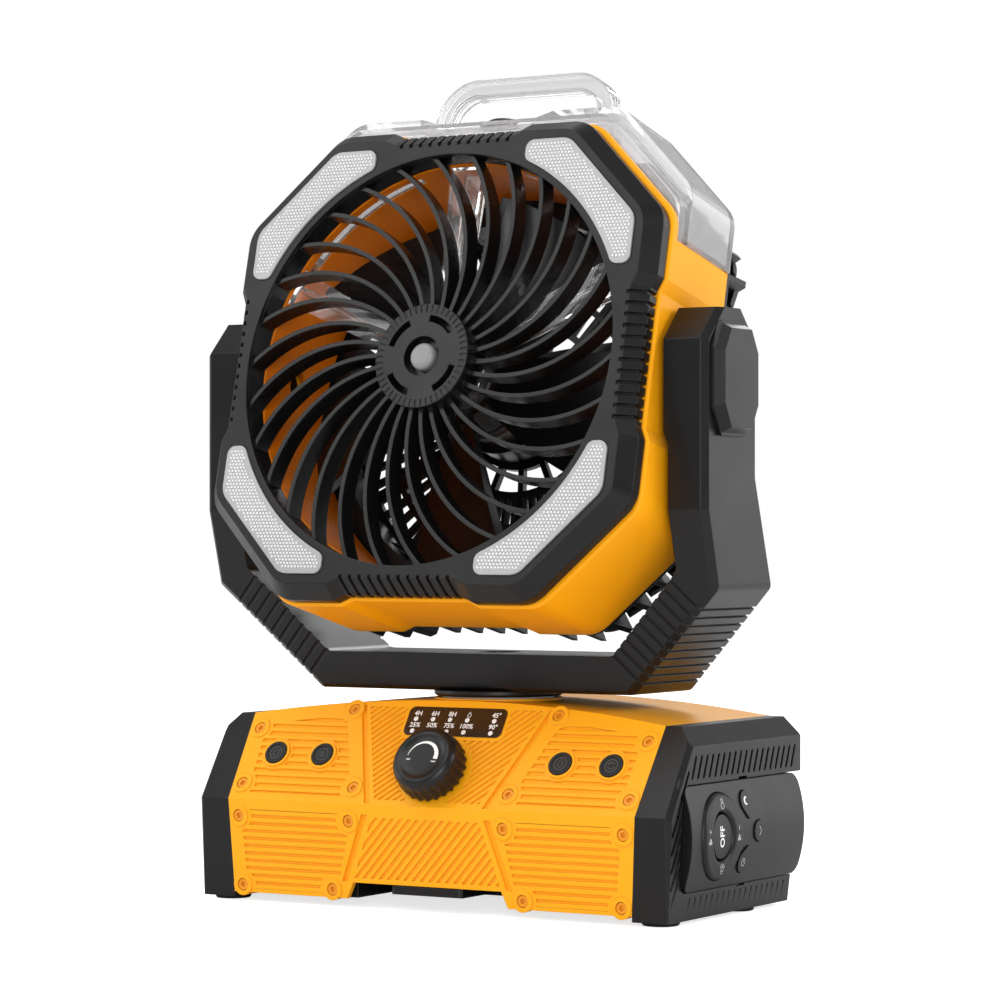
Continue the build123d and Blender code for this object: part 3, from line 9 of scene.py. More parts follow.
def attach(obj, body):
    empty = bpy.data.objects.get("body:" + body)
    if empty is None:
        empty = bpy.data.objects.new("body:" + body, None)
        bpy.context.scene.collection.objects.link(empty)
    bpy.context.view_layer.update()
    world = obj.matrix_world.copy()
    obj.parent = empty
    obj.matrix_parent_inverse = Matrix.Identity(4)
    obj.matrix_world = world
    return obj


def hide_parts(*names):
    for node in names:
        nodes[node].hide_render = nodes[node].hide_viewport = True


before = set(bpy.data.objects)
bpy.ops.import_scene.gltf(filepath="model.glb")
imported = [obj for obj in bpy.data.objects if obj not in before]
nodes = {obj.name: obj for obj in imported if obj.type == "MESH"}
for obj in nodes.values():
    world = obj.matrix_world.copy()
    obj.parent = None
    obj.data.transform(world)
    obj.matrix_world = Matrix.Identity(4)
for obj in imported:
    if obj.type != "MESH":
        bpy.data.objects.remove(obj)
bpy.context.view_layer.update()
mm = 0.001
headPivot = Vector((0, -20.4, 201.5)) * mm
headTilt = math.radians(13.66)
headBack = Vector((0, math.cos(headTilt), -math.sin(headTilt)))
headUp = Vector((0, math.sin(headTilt), math.cos(headTilt)))


# shader nodes
def addNode(tree, kind, x, y, **settings):
    node = tree.nodes.new(kind)
    node.location = (x, y)
    for key, value in settings.items():
        setattr(node, key, value)
    return node


def newGroup(name, inputs, outputs):
    group = bpy.data.node_groups.new(name, "ShaderNodeTree")
    for label, kind, value in inputs:
        socket = group.interface.new_socket(label, in_out="INPUT", socket_type=kind)
        socket.default_value = value
    for label, kind in outputs:
        group.interface.new_socket(label, in_out="OUTPUT", socket_type=kind)
    given = addNode(group, "NodeGroupInput", -900, 0)
    made = addNode(group, "NodeGroupOutput", 700, 0)
    return group, given, made


# math node on two values or sockets
def scaled(tree, a, b, x, y, operation="MULTIPLY"):
    node = addNode(tree, "ShaderNodeMath", x, y, operation=operation)
    for socket, value in zip(node.inputs, (a, b)):
        if isinstance(value, (int, float)):
            socket.default_value = value
        else:
            tree.links.new(value, socket)
    return node.outputs[0]


# patchy mask along edges that stick out, and the rounded normal there; the lighter colour it mixes
# in is partly scuffing and partly a painted edge highlight
def makeEdgeScuffAndHighlight():
    group, given, made = newGroup(
        "edgeScuffAndHighlight",
        [("Radius", "NodeSocketFloat", 0.0006), ("Spread", "NodeSocketFloat", 0.3),
         ("Breakup", "NodeSocketFloat", 220.0)],
        [("Mask", "NodeSocketFloat"), ("Normal", "NodeSocketVector")])
    link = group.links.new
    bevel = addNode(group, "ShaderNodeBevel", -600, 100, samples=6)
    geometry = addNode(group, "ShaderNodeNewGeometry", -600, -100)
    dot = addNode(group, "ShaderNodeVectorMath", -400, 0, operation="DOT_PRODUCT")
    link(given.outputs["Radius"], bevel.inputs["Radius"])
    link(bevel.outputs["Normal"], dot.inputs[0])
    link(geometry.outputs["Normal"], dot.inputs[1])
    turned = scaled(group, 1.0, dot.outputs["Value"], -200, 0, "SUBTRACT")
    ramp = addNode(group, "ShaderNodeMapRange", 0, 0, interpolation_type="SMOOTHSTEP")
    link(turned, ramp.inputs["Value"])
    ramp.inputs["From Min"].default_value = 0.01
    link(given.outputs["Spread"], ramp.inputs["From Max"])
    coords = addNode(group, "ShaderNodeTexCoord", -600, -400)
    noise = addNode(group, "ShaderNodeTexNoise", -400, -400)
    noise.inputs["Detail"].default_value = 3.0
    link(coords.outputs["Object"], noise.inputs["Vector"])
    link(given.outputs["Breakup"], noise.inputs["Scale"])
    patchy = addNode(group, "ShaderNodeMapRange", -100, -400)
    patchy.inputs["From Min"].default_value = 0.35
    patchy.inputs["From Max"].default_value = 0.65
    patchy.inputs["To Min"].default_value = 0.35
    link(noise.outputs["Fac"], patchy.inputs["Value"])
    scuffHighlightAmount = scaled(group, ramp.outputs["Result"], patchy.outputs["Result"], 300, 0)
    link(scuffHighlightAmount, made.inputs["Mask"])
    link(bevel.outputs["Normal"], made.inputs["Normal"])
    return group


# fine height for the skin of the mould, and broad patches
def makeMouldGrain():
    group, given, made = newGroup(
        "mouldGrain",
        [("Scale", "NodeSocketFloat", 1600.0), ("Patches", "NodeSocketFloat", 28.0)],
        [("Height", "NodeSocketFloat"), ("Mottle", "NodeSocketFloat")])
    link = group.links.new
    coords = addNode(group, "ShaderNodeTexCoord", -700, 0)
    cells = addNode(group, "ShaderNodeTexVoronoi", -400, 200, feature="SMOOTH_F1")
    fine = addNode(group, "ShaderNodeTexNoise", -400, -50)
    fine.inputs["Detail"].default_value = 2.0
    broad = addNode(group, "ShaderNodeTexNoise", -400, -300)
    broad.inputs["Detail"].default_value = 4.0
    broad.inputs["Roughness"].default_value = 0.6
    for texture in (cells, fine, broad):
        link(coords.outputs["Object"], texture.inputs["Vector"])
    link(given.outputs["Scale"], cells.inputs["Scale"])
    link(scaled(group, given.outputs["Scale"], 2.3, -600, -100), fine.inputs["Scale"])
    link(given.outputs["Patches"], broad.inputs["Scale"])
    summed = scaled(group, cells.outputs["Distance"], fine.outputs["Fac"], 0, 100, "ADD")
    link(scaled(group, summed, 0.5, 200, 100), made.inputs["Height"])
    link(broad.outputs["Fac"], made.inputs["Mottle"])
    return group


# smeared roughness and a slow wave for clear plastic
def makeSmudges():
    group, given, made = newGroup(
        "smudges",
        [("Scale", "NodeSocketFloat", 40.0), ("Low", "NodeSocketFloat", 0.04),
         ("High", "NodeSocketFloat", 0.12)],
        [("Roughness", "NodeSocketFloat"), ("Wave", "NodeSocketFloat")])
    link = group.links.new
    coords = addNode(group, "ShaderNodeTexCoord", -700, 0)
    noise = addNode(group, "ShaderNodeTexNoise", -400, 100)
    noise.inputs["Detail"].default_value = 5.0
    noise.inputs["Distortion"].default_value = 0.8
    wave = addNode(group, "ShaderNodeTexNoise", -400, -200)
    wave.inputs["Scale"].default_value = 55.0
    for texture in (noise, wave):
        link(coords.outputs["Object"], texture.inputs["Vector"])
    link(given.outputs["Scale"], noise.inputs["Scale"])
    spread = addNode(group, "ShaderNodeMapRange", 0, 100)
    spread.inputs["From Min"].default_value = 0.35
    spread.inputs["From Max"].default_value = 0.7
    link(noise.outputs["Fac"], spread.inputs["Value"])
    link(given.outputs["Low"], spread.inputs["To Min"])
    link(given.outputs["High"], spread.inputs["To Max"])
    link(spread.outputs["Result"], made.inputs["Roughness"])
    link(wave.outputs["Fac"], made.inputs["Wave"])
    return group


# 1 within Radius of the head's axis, where the duct's inner walls get a painted shade
def makeDuctShade():
    group, given, made = newGroup("ductShade", [("Radius", "NodeSocketFloat", 0.084)],
                                  [("Mask", "NodeSocketFloat")])
    link = group.links.new
    coords = addNode(group, "ShaderNodeTexCoord", -700, 0)
    offset = addNode(group, "ShaderNodeVectorMath", -500, 0, operation="SUBTRACT")
    offset.inputs[1].default_value = headPivot
    link(coords.outputs["Object"], offset.inputs[0])
    across = addNode(group, "ShaderNodeVectorMath", -300, 0, operation="CROSS_PRODUCT")
    across.inputs[1].default_value = headBack
    link(offset.outputs["Vector"], across.inputs[0])
    reach = addNode(group, "ShaderNodeVectorMath", -100, 0, operation="LENGTH")
    link(across.outputs["Vector"], reach.inputs[0])
    inside = scaled(group, reach.outputs["Value"], given.outputs["Radius"], 100, 0, "LESS_THAN")
    link(inside, made.inputs["Mask"])
    return group


edgeScuffAndHighlight = makeEdgeScuffAndHighlight()
mouldGrain = makeMouldGrain()
smudges = makeSmudges()
ductShade = makeDuctShade()


def placeGroup(tree, group, x, y, **values):
    node = addNode(tree, "ShaderNodeGroup", x, y, node_tree=group)
    for label, value in values.items():
        node.inputs[label].default_value = value
    return node


def mixColours(tree, factor, first, second, x, y):
    mix = addNode(tree, "ShaderNodeMix", x, y, data_type="RGBA")
    tree.links.new(factor, mix.inputs["Factor"])
    for socket, value in zip((mix.inputs["A"], mix.inputs["B"]), (first, second)):
        if isinstance(value, tuple):
            socket.default_value = (*value, 1.0)
        else:
            tree.links.new(value, socket)
    return mix.outputs["Result"]


def startMaterial(name):
    material = bpy.data.materials.new(name)
    material.use_nodes = True
    tree = material.node_tree
    tree.nodes.clear()
    shader = addNode(tree, "ShaderNodeBsdfPrincipled", 500, 0)
    output = addNode(tree, "ShaderNodeOutputMaterial", 900, 0)
    return material, tree, shader, output


coatRoughness = 0.12
clearBump = 0.15


# moulded plastic, rubber or metal with grain, lighter edges that are partly scuffing and partly a
# painted highlight, and a mottled gloss
def moulded(name, look):
    material, tree, shader, output = startMaterial(name)
    link = tree.links.new
    grain = placeGroup(tree, mouldGrain, -500, -200, Scale=look["grain"])
    scuffAndHighlight = placeGroup(tree, edgeScuffAndHighlight, -500, 200, Radius=look.get("edge", 0.5) * mm)
    ground = mixColours(tree, grain.outputs["Mottle"], look["colour"], look["shade"], -200, 300)
    # painted shade: a deeper orange on the surfaces inside the duct
    if "duct" in look:
        inside = placeGroup(tree, ductShade, -400, 400, Radius=look["duct"]["radius"] * mm)
        ground = mixColours(tree, inside.outputs["Mask"], ground, look["duct"]["colour"], -100, 400)
    # lighter colour along edges: partly scuffing, partly a painted edge highlight
    scuffHighlightAmount = scaled(tree, scuffAndHighlight.outputs["Mask"], look.get("scuffHighlightAmount", 0.4), -300, 100)
    link(mixColours(tree, scuffHighlightAmount, ground, look["scuffHighlightColour"], 0, 300), shader.inputs["Base Color"])
    gloss = addNode(tree, "ShaderNodeMapRange", -200, -50)
    gloss.inputs["From Min"].default_value = 0.3
    gloss.inputs["From Max"].default_value = 0.7
    gloss.inputs["To Min"].default_value, gloss.inputs["To Max"].default_value = look["gloss"]
    link(grain.outputs["Mottle"], gloss.inputs["Value"])
    link(gloss.outputs["Result"], shader.inputs["Roughness"])
    bump = addNode(tree, "ShaderNodeBump", 200, -250)
    bump.inputs["Strength"].default_value = look.get("bump", 0.25)
    bump.inputs["Distance"].default_value = look.get("depth", 0.05) * mm
    link(grain.outputs["Height"], bump.inputs["Height"])
    link(scuffAndHighlight.outputs["Normal"], bump.inputs["Normal"])
    link(bump.outputs["Normal"], shader.inputs["Normal"])
    shader.inputs["Metallic"].default_value = look.get("metal", 0.0)
    shader.inputs["Specular IOR Level"].default_value = look.get("specular", 0.5)
    shader.inputs["Coat Weight"].default_value = look.get("coat", 0.0)
    shader.inputs["Coat Roughness"].default_value = coatRoughness
    link(shader.outputs["BSDF"], output.inputs["Surface"])
    return material


# clear moulding that lets light through to what stands behind it
def clearPlastic(name, look):
    material, tree, shader, output = startMaterial(name)
    link = tree.links.new
    film = placeGroup(tree, smudges, -300, 0, Low=look["gloss"][0], High=look["gloss"][1])
    link(film.outputs["Roughness"], shader.inputs["Roughness"])
    bump = addNode(tree, "ShaderNodeBump", 100, -250)
    bump.inputs["Strength"].default_value = clearBump
    bump.inputs["Distance"].default_value = look["wave"] * mm
    link(film.outputs["Wave"], bump.inputs["Height"])
    link(bump.outputs["Normal"], shader.inputs["Normal"])
    shader.inputs["Base Color"].default_value = (*look["colour"], 1.0)
    shader.inputs["IOR"].default_value = look["ior"]
    shader.inputs["Transmission Weight"].default_value = look["clear"]
    rays = addNode(tree, "ShaderNodeLightPath", 300, 300)
    through = addNode(tree, "ShaderNodeBsdfTransparent", 500, 200)
    through.inputs["Color"].default_value = (*look["tint"], 1.0)
    mix = addNode(tree, "ShaderNodeMixShader", 700, 0)
    link(rays.outputs["Is Shadow Ray"], mix.inputs["Fac"])
    link(shader.outputs["BSDF"], mix.inputs[1])
    link(through.outputs["BSDF"], mix.inputs[2])
    link(mix.outputs["Shader"], output.inputs["Surface"])
    return material


# each look's lighter edge colour is partly scuffing and partly a painted edge highlight
amberLook = {"colour": (0.95, 0.415, 0.010), "shade": (0.92, 0.385, 0.007),
             "scuffHighlightColour": (1.0, 0.56, 0.07), "grain": 1500.0, "gloss": (0.34, 0.44),
             "edge": 0.45, "scuffHighlightAmount": 0.5, "bump": 0.2, "depth": 0.05, "specular": 0.2}
# the casing carries a painted shade inside the duct
casingLook = dict(amberLook, colour=(0.95, 0.385, 0.006), shade=(0.93, 0.365, 0.004),
                  grain=1800.0, bump=0.1, edge=0.8, specular=0.16,
                  duct={"radius": 84.0, "colour": (0.95, 0.22, 0.0)})  # painted shade: deeper orange on the duct's inner walls
blackLook = {"colour": (0.0065, 0.0065, 0.0068), "shade": (0.0052, 0.0052, 0.0055),
             "scuffHighlightColour": (0.055, 0.055, 0.056), "grain": 1700.0, "gloss": (0.28, 0.38),
             "edge": 0.6, "scuffHighlightAmount": 0.45, "bump": 0.25, "depth": 0.05, "specular": 0.3}
grilleLook = dict(blackLook, colour=(0.0062, 0.006, 0.0058), gloss=(0.22, 0.32), bump=0.12,
                  edge=0.4)
knobLook = dict(blackLook, colour=(0.016, 0.016, 0.0165), gloss=(0.24, 0.34), bump=0.15,
                edge=0.35)
keyLook = dict(blackLook, colour=(0.014, 0.014, 0.0145), gloss=(0.32, 0.44), grain=2400.0,
               edge=0.3)
rubberLook = dict(blackLook, colour=(0.012, 0.012, 0.012), gloss=(0.65, 0.8), grain=900.0,
                  bump=0.5)
windowLook = {"colour": (0.018, 0.012, 0.008), "shade": (0.015, 0.010, 0.007),
              "scuffHighlightColour": (0.04, 0.03, 0.025), "grain": 3000.0, "gloss": (0.12, 0.2),
              "edge": 0.2, "scuffHighlightAmount": 0.2, "bump": 0.03, "coat": 0.3}
lensLook = {"colour": (0.33, 0.33, 0.335), "shade": (0.30, 0.30, 0.31),
            "scuffHighlightColour": (0.6, 0.6, 0.62), "grain": 900.0, "gloss": (0.16, 0.24),
            "edge": 0.7, "scuffHighlightAmount": 0.8, "bump": 0.1, "coat": 0.5}
prismLook = dict(lensLook, colour=(0.76, 0.76, 0.77), shade=(0.68, 0.68, 0.70),
                 gloss=(0.08, 0.14), edge=0.1)
domeLook = {"colour": (0.25, 0.25, 0.25), "shade": (0.22, 0.22, 0.22),
            "scuffHighlightColour": (0.5, 0.5, 0.5), "grain": 2000.0, "gloss": (0.3, 0.4),
            "edge": 0.4, "bump": 0.1}
steelLook = {"colour": (0.56, 0.55, 0.53), "shade": (0.42, 0.41, 0.40),
             "scuffHighlightColour": (0.8, 0.79, 0.77), "grain": 1200.0, "gloss": (0.24, 0.42),
             "edge": 0.2, "bump": 0.15, "metal": 1.0}
screwLook = {"colour": (0.86, 0.33, 0.012), "shade": (0.72, 0.26, 0.010),
             "scuffHighlightColour": (0.95, 0.48, 0.06), "grain": 1500.0, "gloss": (0.34, 0.44),
             "edge": 0.2, "bump": 0.15, "specular": 0.35}
acetalLook = {"colour": (0.72, 0.71, 0.66), "shade": (0.66, 0.65, 0.60),
              "scuffHighlightColour": (0.85, 0.84, 0.8), "grain": 1400.0, "gloss": (0.34, 0.44),
              "edge": 0.2, "bump": 0.1}
boardLook = {"colour": (0.012, 0.11, 0.035), "shade": (0.009, 0.085, 0.027),
             "scuffHighlightColour": (0.12, 0.16, 0.06), "grain": 2600.0, "gloss": (0.25, 0.35), "bump": 0.2}
ledLook = dict(boardLook, colour=(0.8, 0.8, 0.78), shade=(0.74, 0.74, 0.72),
               scuffHighlightColour=(0.6, 0.58, 0.4))
cellLook = {"colour": (0.02, 0.09, 0.32), "shade": (0.016, 0.07, 0.27),
            "scuffHighlightColour": (0.2, 0.3, 0.5), "grain": 500.0, "gloss": (0.12, 0.22),
            "bump": 0.08, "coat": 0.3}
motorLook = {"colour": (0.20, 0.20, 0.21), "shade": (0.15, 0.15, 0.16),
             "scuffHighlightColour": (0.5, 0.5, 0.5), "grain": 1100.0, "gloss": (0.32, 0.46),
             "bump": 0.15, "metal": 0.9}
printLook = {"colour": (0.90, 0.90, 0.89), "shade": (0.85, 0.85, 0.84),
             "scuffHighlightColour": (0.9, 0.9, 0.9), "grain": 4000.0, "gloss": (0.4, 0.5),
             "edge": 0.05, "scuffHighlightAmount": 0.1, "bump": 0.1}
keyPrintLook = dict(printLook, colour=(0.085, 0.085, 0.085), shade=(0.07, 0.07, 0.07))
iconLook = dict(printLook, colour=(0.45, 0.45, 0.45), shade=(0.38, 0.38, 0.38))
tankLook = {"colour": (0.69, 0.69, 0.695), "tint": (0.9, 0.9, 0.91), "ior": 1.46, "clear": 0.88,
            "gloss": (0.03, 0.08), "wave": 0.08}
handleLook = dict(tankLook, colour=(0.57, 0.57, 0.575), clear=0.9)
armLook = dict(tankLook, colour=(0.93, 0.93, 0.93), clear=0.95, wave=0.3, gloss=(0.03, 0.07))

mouldedLooks = {
    "amberShell": amberLook, "amberCasing": casingLook, "blackHousing": blackLook,
    "blackGrille": grilleLook, "blackKnob": knobLook, "blackKey": keyLook,
    "rubberPad": rubberLook, "windowPane": windowLook, "lampLens": lensLook,
    "lensPrism": prismLook, "greyDome": domeLook, "plainSteel": steelLook,
    "amberScrew": screwLook, "naturalAcetal": acetalLook, "greenBoard": boardLook,
    "whiteBoard": ledLook, "blueSleeve": cellLook, "motorCan": motorLook,
    "whitePrint": printLook, "keyPrint": keyPrintLook, "iconPrint": iconLook,
}
clearLooks = {"clearTank": tankLook, "clearArm": armLook, "clearHandle": handleLook}
finishes = {name: moulded(name, look) for name, look in mouldedLooks.items()}
finishes.update({name: clearPlastic(name, look) for name, look in clearLooks.items()})

nodeFinishes = {
    "amberShell": ["base_shell"],
    "amberCasing": ["head_casing"],
    "blackHousing": ["base_floor", "left_end_cap", "right_end_cap", "hanging_bail",
                     "battery_holder", "remote_case", "remote_back", "yoke_bracket",
                     "swivel_disc", "left_pivot_cover", "right_pivot_cover", "head_bezel",
                     "filler_cap", "rear_grille", "left_pivot_hub", "right_pivot_hub"],
    "blackGrille": ["front_grille", "hub_cap", "impeller"],
    "blackKnob": ["control_knob"],
    "blackKey": ["power_button", "light_button", "mist_button", "swing_button",
                 "remote_ring_key", "remote_off_key", "remote_light_key",
                 "remote_swing_key", "remote_timer_key"],
    "rubberPad": ["base_feet"],
    "windowPane": ["indicator_window"],
    "lampLens": ["right_upper_lens", "right_lower_lens", "left_lower_lens", "left_upper_lens"],
    "greyDome": ["nozzle_dome"],
    "plainSteel": ["floor_screws", "rotary_encoder", "usb_sockets", "remote_coin_cell",
                   "motor_shaft", "pivot_nuts", "cover_screws"],
    "amberScrew": ["panel_screws"],
    "naturalAcetal": ["swivel_bearing", "swing_pinion", "swivel_gear", "swivel_retainer"],
    "greenBoard": ["control_board", "remote_board"],
    "whiteBoard": ["led_boards"],
    "blueSleeve": ["battery_cells"],
    "motorCan": ["swing_motor", "fan_motor"],
    "clearTank": ["clear_tank"],
    "clearHandle": ["carry_handle"],
    "clearArm": ["mist_manifold"],
}
for finish, members in nodeFinishes.items():
    for member in members:
        for materialSlot in nodes[member].material_slots:
            materialSlot.material = finishes[finish]
unfinished = set(nodes) - {member for members in nodeFinishes.values() for member in members}
print("finishes:", len(finishes), "materials, nodes without one:", sorted(unfinished))


# pieces
def finishPiece(name, bm, finish, body, smooth=False):
    mesh = bpy.data.meshes.new(name)
    bmesh.ops.recalc_face_normals(bm, faces=bm.faces)
    bm.to_mesh(mesh)
    bm.free()
    for face in mesh.polygons:
        face.use_smooth = smooth
    piece = bpy.data.objects.new(name, mesh)
    bpy.context.scene.collection.objects.link(piece)
    mesh.materials.append(finishes[finish])
    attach(piece, body)
    return piece


# closed skin over loops of vertices, from the bottom to the top
def skinLoops(bm, loops):
    for low, high in zip(loops, loops[1:]):
        for i in range(len(low)):
            j = (i + 1) % len(low)
            bm.faces.new((low[i], low[j], high[j], high[i]))
    bm.faces.new(loops[-1])
    bm.faces.new(list(reversed(loops[0])))


discRings = [(1.0, 0.0), (1.0, 0.6), (0.72, 0.9), (0.4, 1.0)]  # share of radius and height


# low round button with a crowned top
def addDisc(bm, place, radius, height, x=0.0, y=0.0, segments=24):
    loops = []
    for share, level in discRings:
        loops.append([bm.verts.new(place @ Vector((
            x + radius * share * math.cos(math.tau * i / segments),
            y + radius * share * math.sin(math.tau * i / segments), height * level)))
            for i in range(segments)])
    skinLoops(bm, loops)


# raised line along centre points, with its own width at each
def addStrip(bm, place, centres, widths, height, closed=False):
    count = len(centres)
    rows = []
    for i, (centre, width) in enumerate(zip(centres, widths)):
        before = centres[i - 1] if i or closed else centres[0]
        after = centres[(i + 1) % count] if i + 1 < count or closed else centres[-1]
        along = (Vector(after) - Vector(before)).normalized()
        side = Vector((-along.y, along.x)) * width / 2
        rows.append([bm.verts.new(place @ Vector((centre[0] + s * side.x,
                                                  centre[1] + s * side.y, level)))
                     for s, level in ((1, 0.0), (1, height), (-1, height), (-1, 0.0))])
    pairs = list(zip(rows, rows[1:])) + ([(rows[-1], rows[0])] if closed else [])
    for first, second in pairs:
        for i in range(4):
            j = (i + 1) % 4
            bm.faces.new((first[i], first[j], second[j], second[i]))
    if not closed:
        bm.faces.new(rows[0])
        bm.faces.new(list(reversed(rows[-1])))


# points on an arc, its ends given in degrees
def arcPoints(radius, start, end, steps, x=0.0, y=0.0):
    angles = [math.radians(start + (end - start) * i / (steps - 1)) for i in range(steps)]
    return [(x + radius * math.cos(a), y + radius * math.sin(a)) for a in angles]


def addRing(bm, place, radius, width, height, x=0.0, y=0.0, segments=36):
    points = arcPoints(radius, 0, 360 * (segments - 1) / segments, segments, x, y)
    addStrip(bm, place, points, [width] * segments, height, closed=True)


def addLine(bm, place, points, width, height):
    addStrip(bm, place, points, [width] * len(points), height)


letterBold = 0.022  # share of the letters' size that their strokes gain
letterSteps = 3


def addText(bm, place, text, x, y, size, height, turn=0.0):
    curve = bpy.data.curves.new("lettering", "FONT")
    curve.body, curve.size = text, size
    curve.align_x, curve.align_y = "CENTER", "CENTER"
    curve.extrude = height / 2
    curve.offset = size * letterBold
    curve.resolution_u = letterSteps
    carrier = bpy.data.objects.new("lettering", curve)
    bpy.context.scene.collection.objects.link(carrier)
    bpy.context.view_layer.update()
    mesh = bpy.data.meshes.new_from_object(carrier)
    mesh.transform(place @ Matrix.Translation((x, y, height / 2))
                   @ Matrix.Rotation(turn, 4, "Z"))
    bm.from_mesh(mesh)
    bpy.data.objects.remove(carrier)
    bpy.data.meshes.remove(mesh)
    bpy.data.curves.remove(curve)


def surfaceTree(name):
    bm = bmesh.new()
    bm.from_mesh(nodes[name].data)
    tree = BVHTree.FromBMesh(bm)
    bm.free()
    return tree


def planeMatrix(origin, right, up):
    right, up = Vector(right).normalized(), Vector(up).normalized()
    out = right.cross(up)
    matrix = Matrix((right, up, out)).transposed().to_4x4()
    matrix.translation = Vector(origin)
    return matrix


slopeAngle = math.radians(32.9)
slopeUp = Vector((0, math.sin(slopeAngle), math.cos(slopeAngle)))
slopeOut = Vector((0, -math.cos(slopeAngle), math.sin(slopeAngle)))
slopeOrigin = Vector((0, -54.7, 39.9)) * mm


# plane over the control face, moved x to the right and s up the slope
def slopePlace(height, x=0.0, s=0.0):
    place = planeMatrix(slopeOrigin + slopeOut * height * mm, (1, 0, 0), slopeUp)
    place.translation += slopeUp * s * mm + Vector((x * mm, 0, 0))
    return place


# marks in the indicator window
windowMarks = {"s": 37.2, "face": 0.3, "dotRadius": 1.0, "dotHeight": 0.06, "textSize": 2.8,
               "textShift": 0.4, "thickness": 0.03, "columns": (-16.5, -8.8, -1.1, 6.6, 18.6),
               "rows": (3.2, 0.8, -1.9, -4.5), "top": ("4H", "6H", "8H", "", "45°"),
               "low": ("25%", "50%", "75%", "100%", "90°"), "drop": (6.9, 2.95),
               "dropRadius": 0.75, "dropTip": 1.5, "dropLine": 0.25}


def makeWindowMarks(w):
    place = slopePlace(w["face"])
    dots, words = bmesh.new(), bmesh.new()
    for x, top, low in zip(w["columns"], w["top"], w["low"]):
        for row in (1, 3):
            addDisc(dots, place, w["dotRadius"] * mm, w["dotHeight"] * mm, x * mm,
                    (w["s"] + w["rows"][row]) * mm)
        for row, text in ((0, top), (2, low)):
            if text:
                addText(words, place, text, (x + w["textShift"]) * mm,
                        (w["s"] + w["rows"][row]) * mm, w["textSize"] * mm, w["thickness"] * mm)
    dropX, dropY = w["drop"][0], w["s"] + w["drop"][1]
    drop = [(dropX, dropY + w["dropTip"])]
    drop += arcPoints(w["dropRadius"], 150, 390, 14, dropX, dropY - 0.1)
    addStrip(words, place, [(x * mm, y * mm) for x, y in drop], [w["dropLine"] * mm] * len(drop),
             w["thickness"] * mm, closed=True)
    finishPiece("window_dots", dots, "whitePrint", "base", True)
    finishPiece("window_numbers", words, "whitePrint", "base")


makeWindowMarks(windowMarks)


# knob whose flutes run out under a smooth round rim; rings are radius, height, share of flute
knobShape = {"s": 15.4, "flutes": 24, "segments": 192, "depth": 1.0, "sharpness": 0.8, "rings": [
    (3.0, 1.0, 0.0), (12.6, 1.0, 0.0), (13.6, 1.0, 1.0), (13.9, 1.5, 1.0), (13.95, 4.0, 1.0),
    (13.9, 6.6, 1.0), (13.75, 7.8, 0.8), (13.55, 8.6, 0.4), (13.35, 9.3, 0.1), (13.1, 10.0, 0.0),
    (12.7, 10.9, 0.0), (12.1, 11.6, 0.0), (11.4, 12.1, 0.0), (10.7, 12.35, 0.0), (10.1, 12.35, 0.0),
    (9.2, 12.0, 0.0), (8.2, 11.62, 0.0), (7.5, 11.5, 0.0), (4.0, 11.48, 0.0)]}


def makeKnob(k):
    place = slopePlace(0, s=k["s"])
    bm = bmesh.new()
    loops = []
    for radius, height, share in k["rings"]:
        loop = []
        for i in range(k["segments"]):
            turn = math.tau * i / k["segments"]
            groove = (0.5 + 0.5 * math.cos(turn * k["flutes"])) ** k["sharpness"]
            reach = radius - k["depth"] * share * groove
            spot = Vector((reach * math.cos(turn), reach * math.sin(turn), height)) * mm
            loop.append(bm.verts.new(place @ spot))
        loops.append(loop)
    skinLoops(bm, loops)
    knob = finishPiece("knob_body", bm, "blackKnob", "knob", True)
    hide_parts("control_knob")


makeKnob(knobShape)
print("knob: shaped")


# arc and end words on the dial of the knob
dialMarks = {"s": 15.4, "face": 11.49, "outer": 6.75, "from": 176.0, "to": -6.0,
             "thin": 0.16, "thick": 1.9, "steps": 48, "height": 0.06, "wordSize": 0.95,
             "words": (("MIN", -5.9, -1.25), ("MAX", 5.4, -1.85))}


def makeDialMarks(d):
    place = slopePlace(d["face"], s=d["s"])
    bm = bmesh.new()
    points, widths = [], []
    for i in range(d["steps"]):
        share = i / (d["steps"] - 1)
        turn = math.radians(d["from"] + (d["to"] - d["from"]) * share)
        width = d["thin"] + (d["thick"] - d["thin"]) * share
        points.append(((d["outer"] - width / 2) * math.cos(turn) * mm,
                       (d["outer"] - width / 2) * math.sin(turn) * mm))
        widths.append(width * mm)
    addStrip(bm, place, points, widths, d["height"] * mm)
    finishPiece("dial_arc", bm, "whitePrint", "knob")
    words = bmesh.new()
    for text, x, y in d["words"]:
        addText(words, place, text, x * mm, y * mm, d["wordSize"] * mm, d["height"] * mm)
    finishPiece("dial_words", words, "whitePrint", "knob")


makeDialMarks(dialMarks)


# raised rings and symbols on the four buttons
buttonMarks = {"s": 20.5, "face": 0.85, "ring": 2.6, "line": 0.24, "height": 0.12,
               "power": -75.0, "light": -53.3, "mist": 53.3, "swing": 75.0}


def drawPower(bm, place, line, high):
    addLine(bm, place, [(x * mm, y * mm) for x, y in arcPoints(1.3, 125, 415, 20)], line, high)
    addLine(bm, place, [(0, 0.5 * mm), (0, 1.7 * mm)], line, high)


def drawLamp(bm, place, line, high):
    addRing(bm, place, 0.75 * mm, line, high)
    for i in range(8):
        turn = math.tau * i / 8
        ends = [(r * mm * math.cos(turn), r * mm * math.sin(turn)) for r in (1.15, 1.65)]
        addLine(bm, place, ends, line, high)


def drawDrop(bm, place, line, high):
    drop = [(0, 1.7)] + arcPoints(1.05, 150, 390, 16, 0, -0.3)
    addStrip(bm, place, [(x * mm, y * mm) for x, y in drop], [line] * len(drop), high, closed=True)


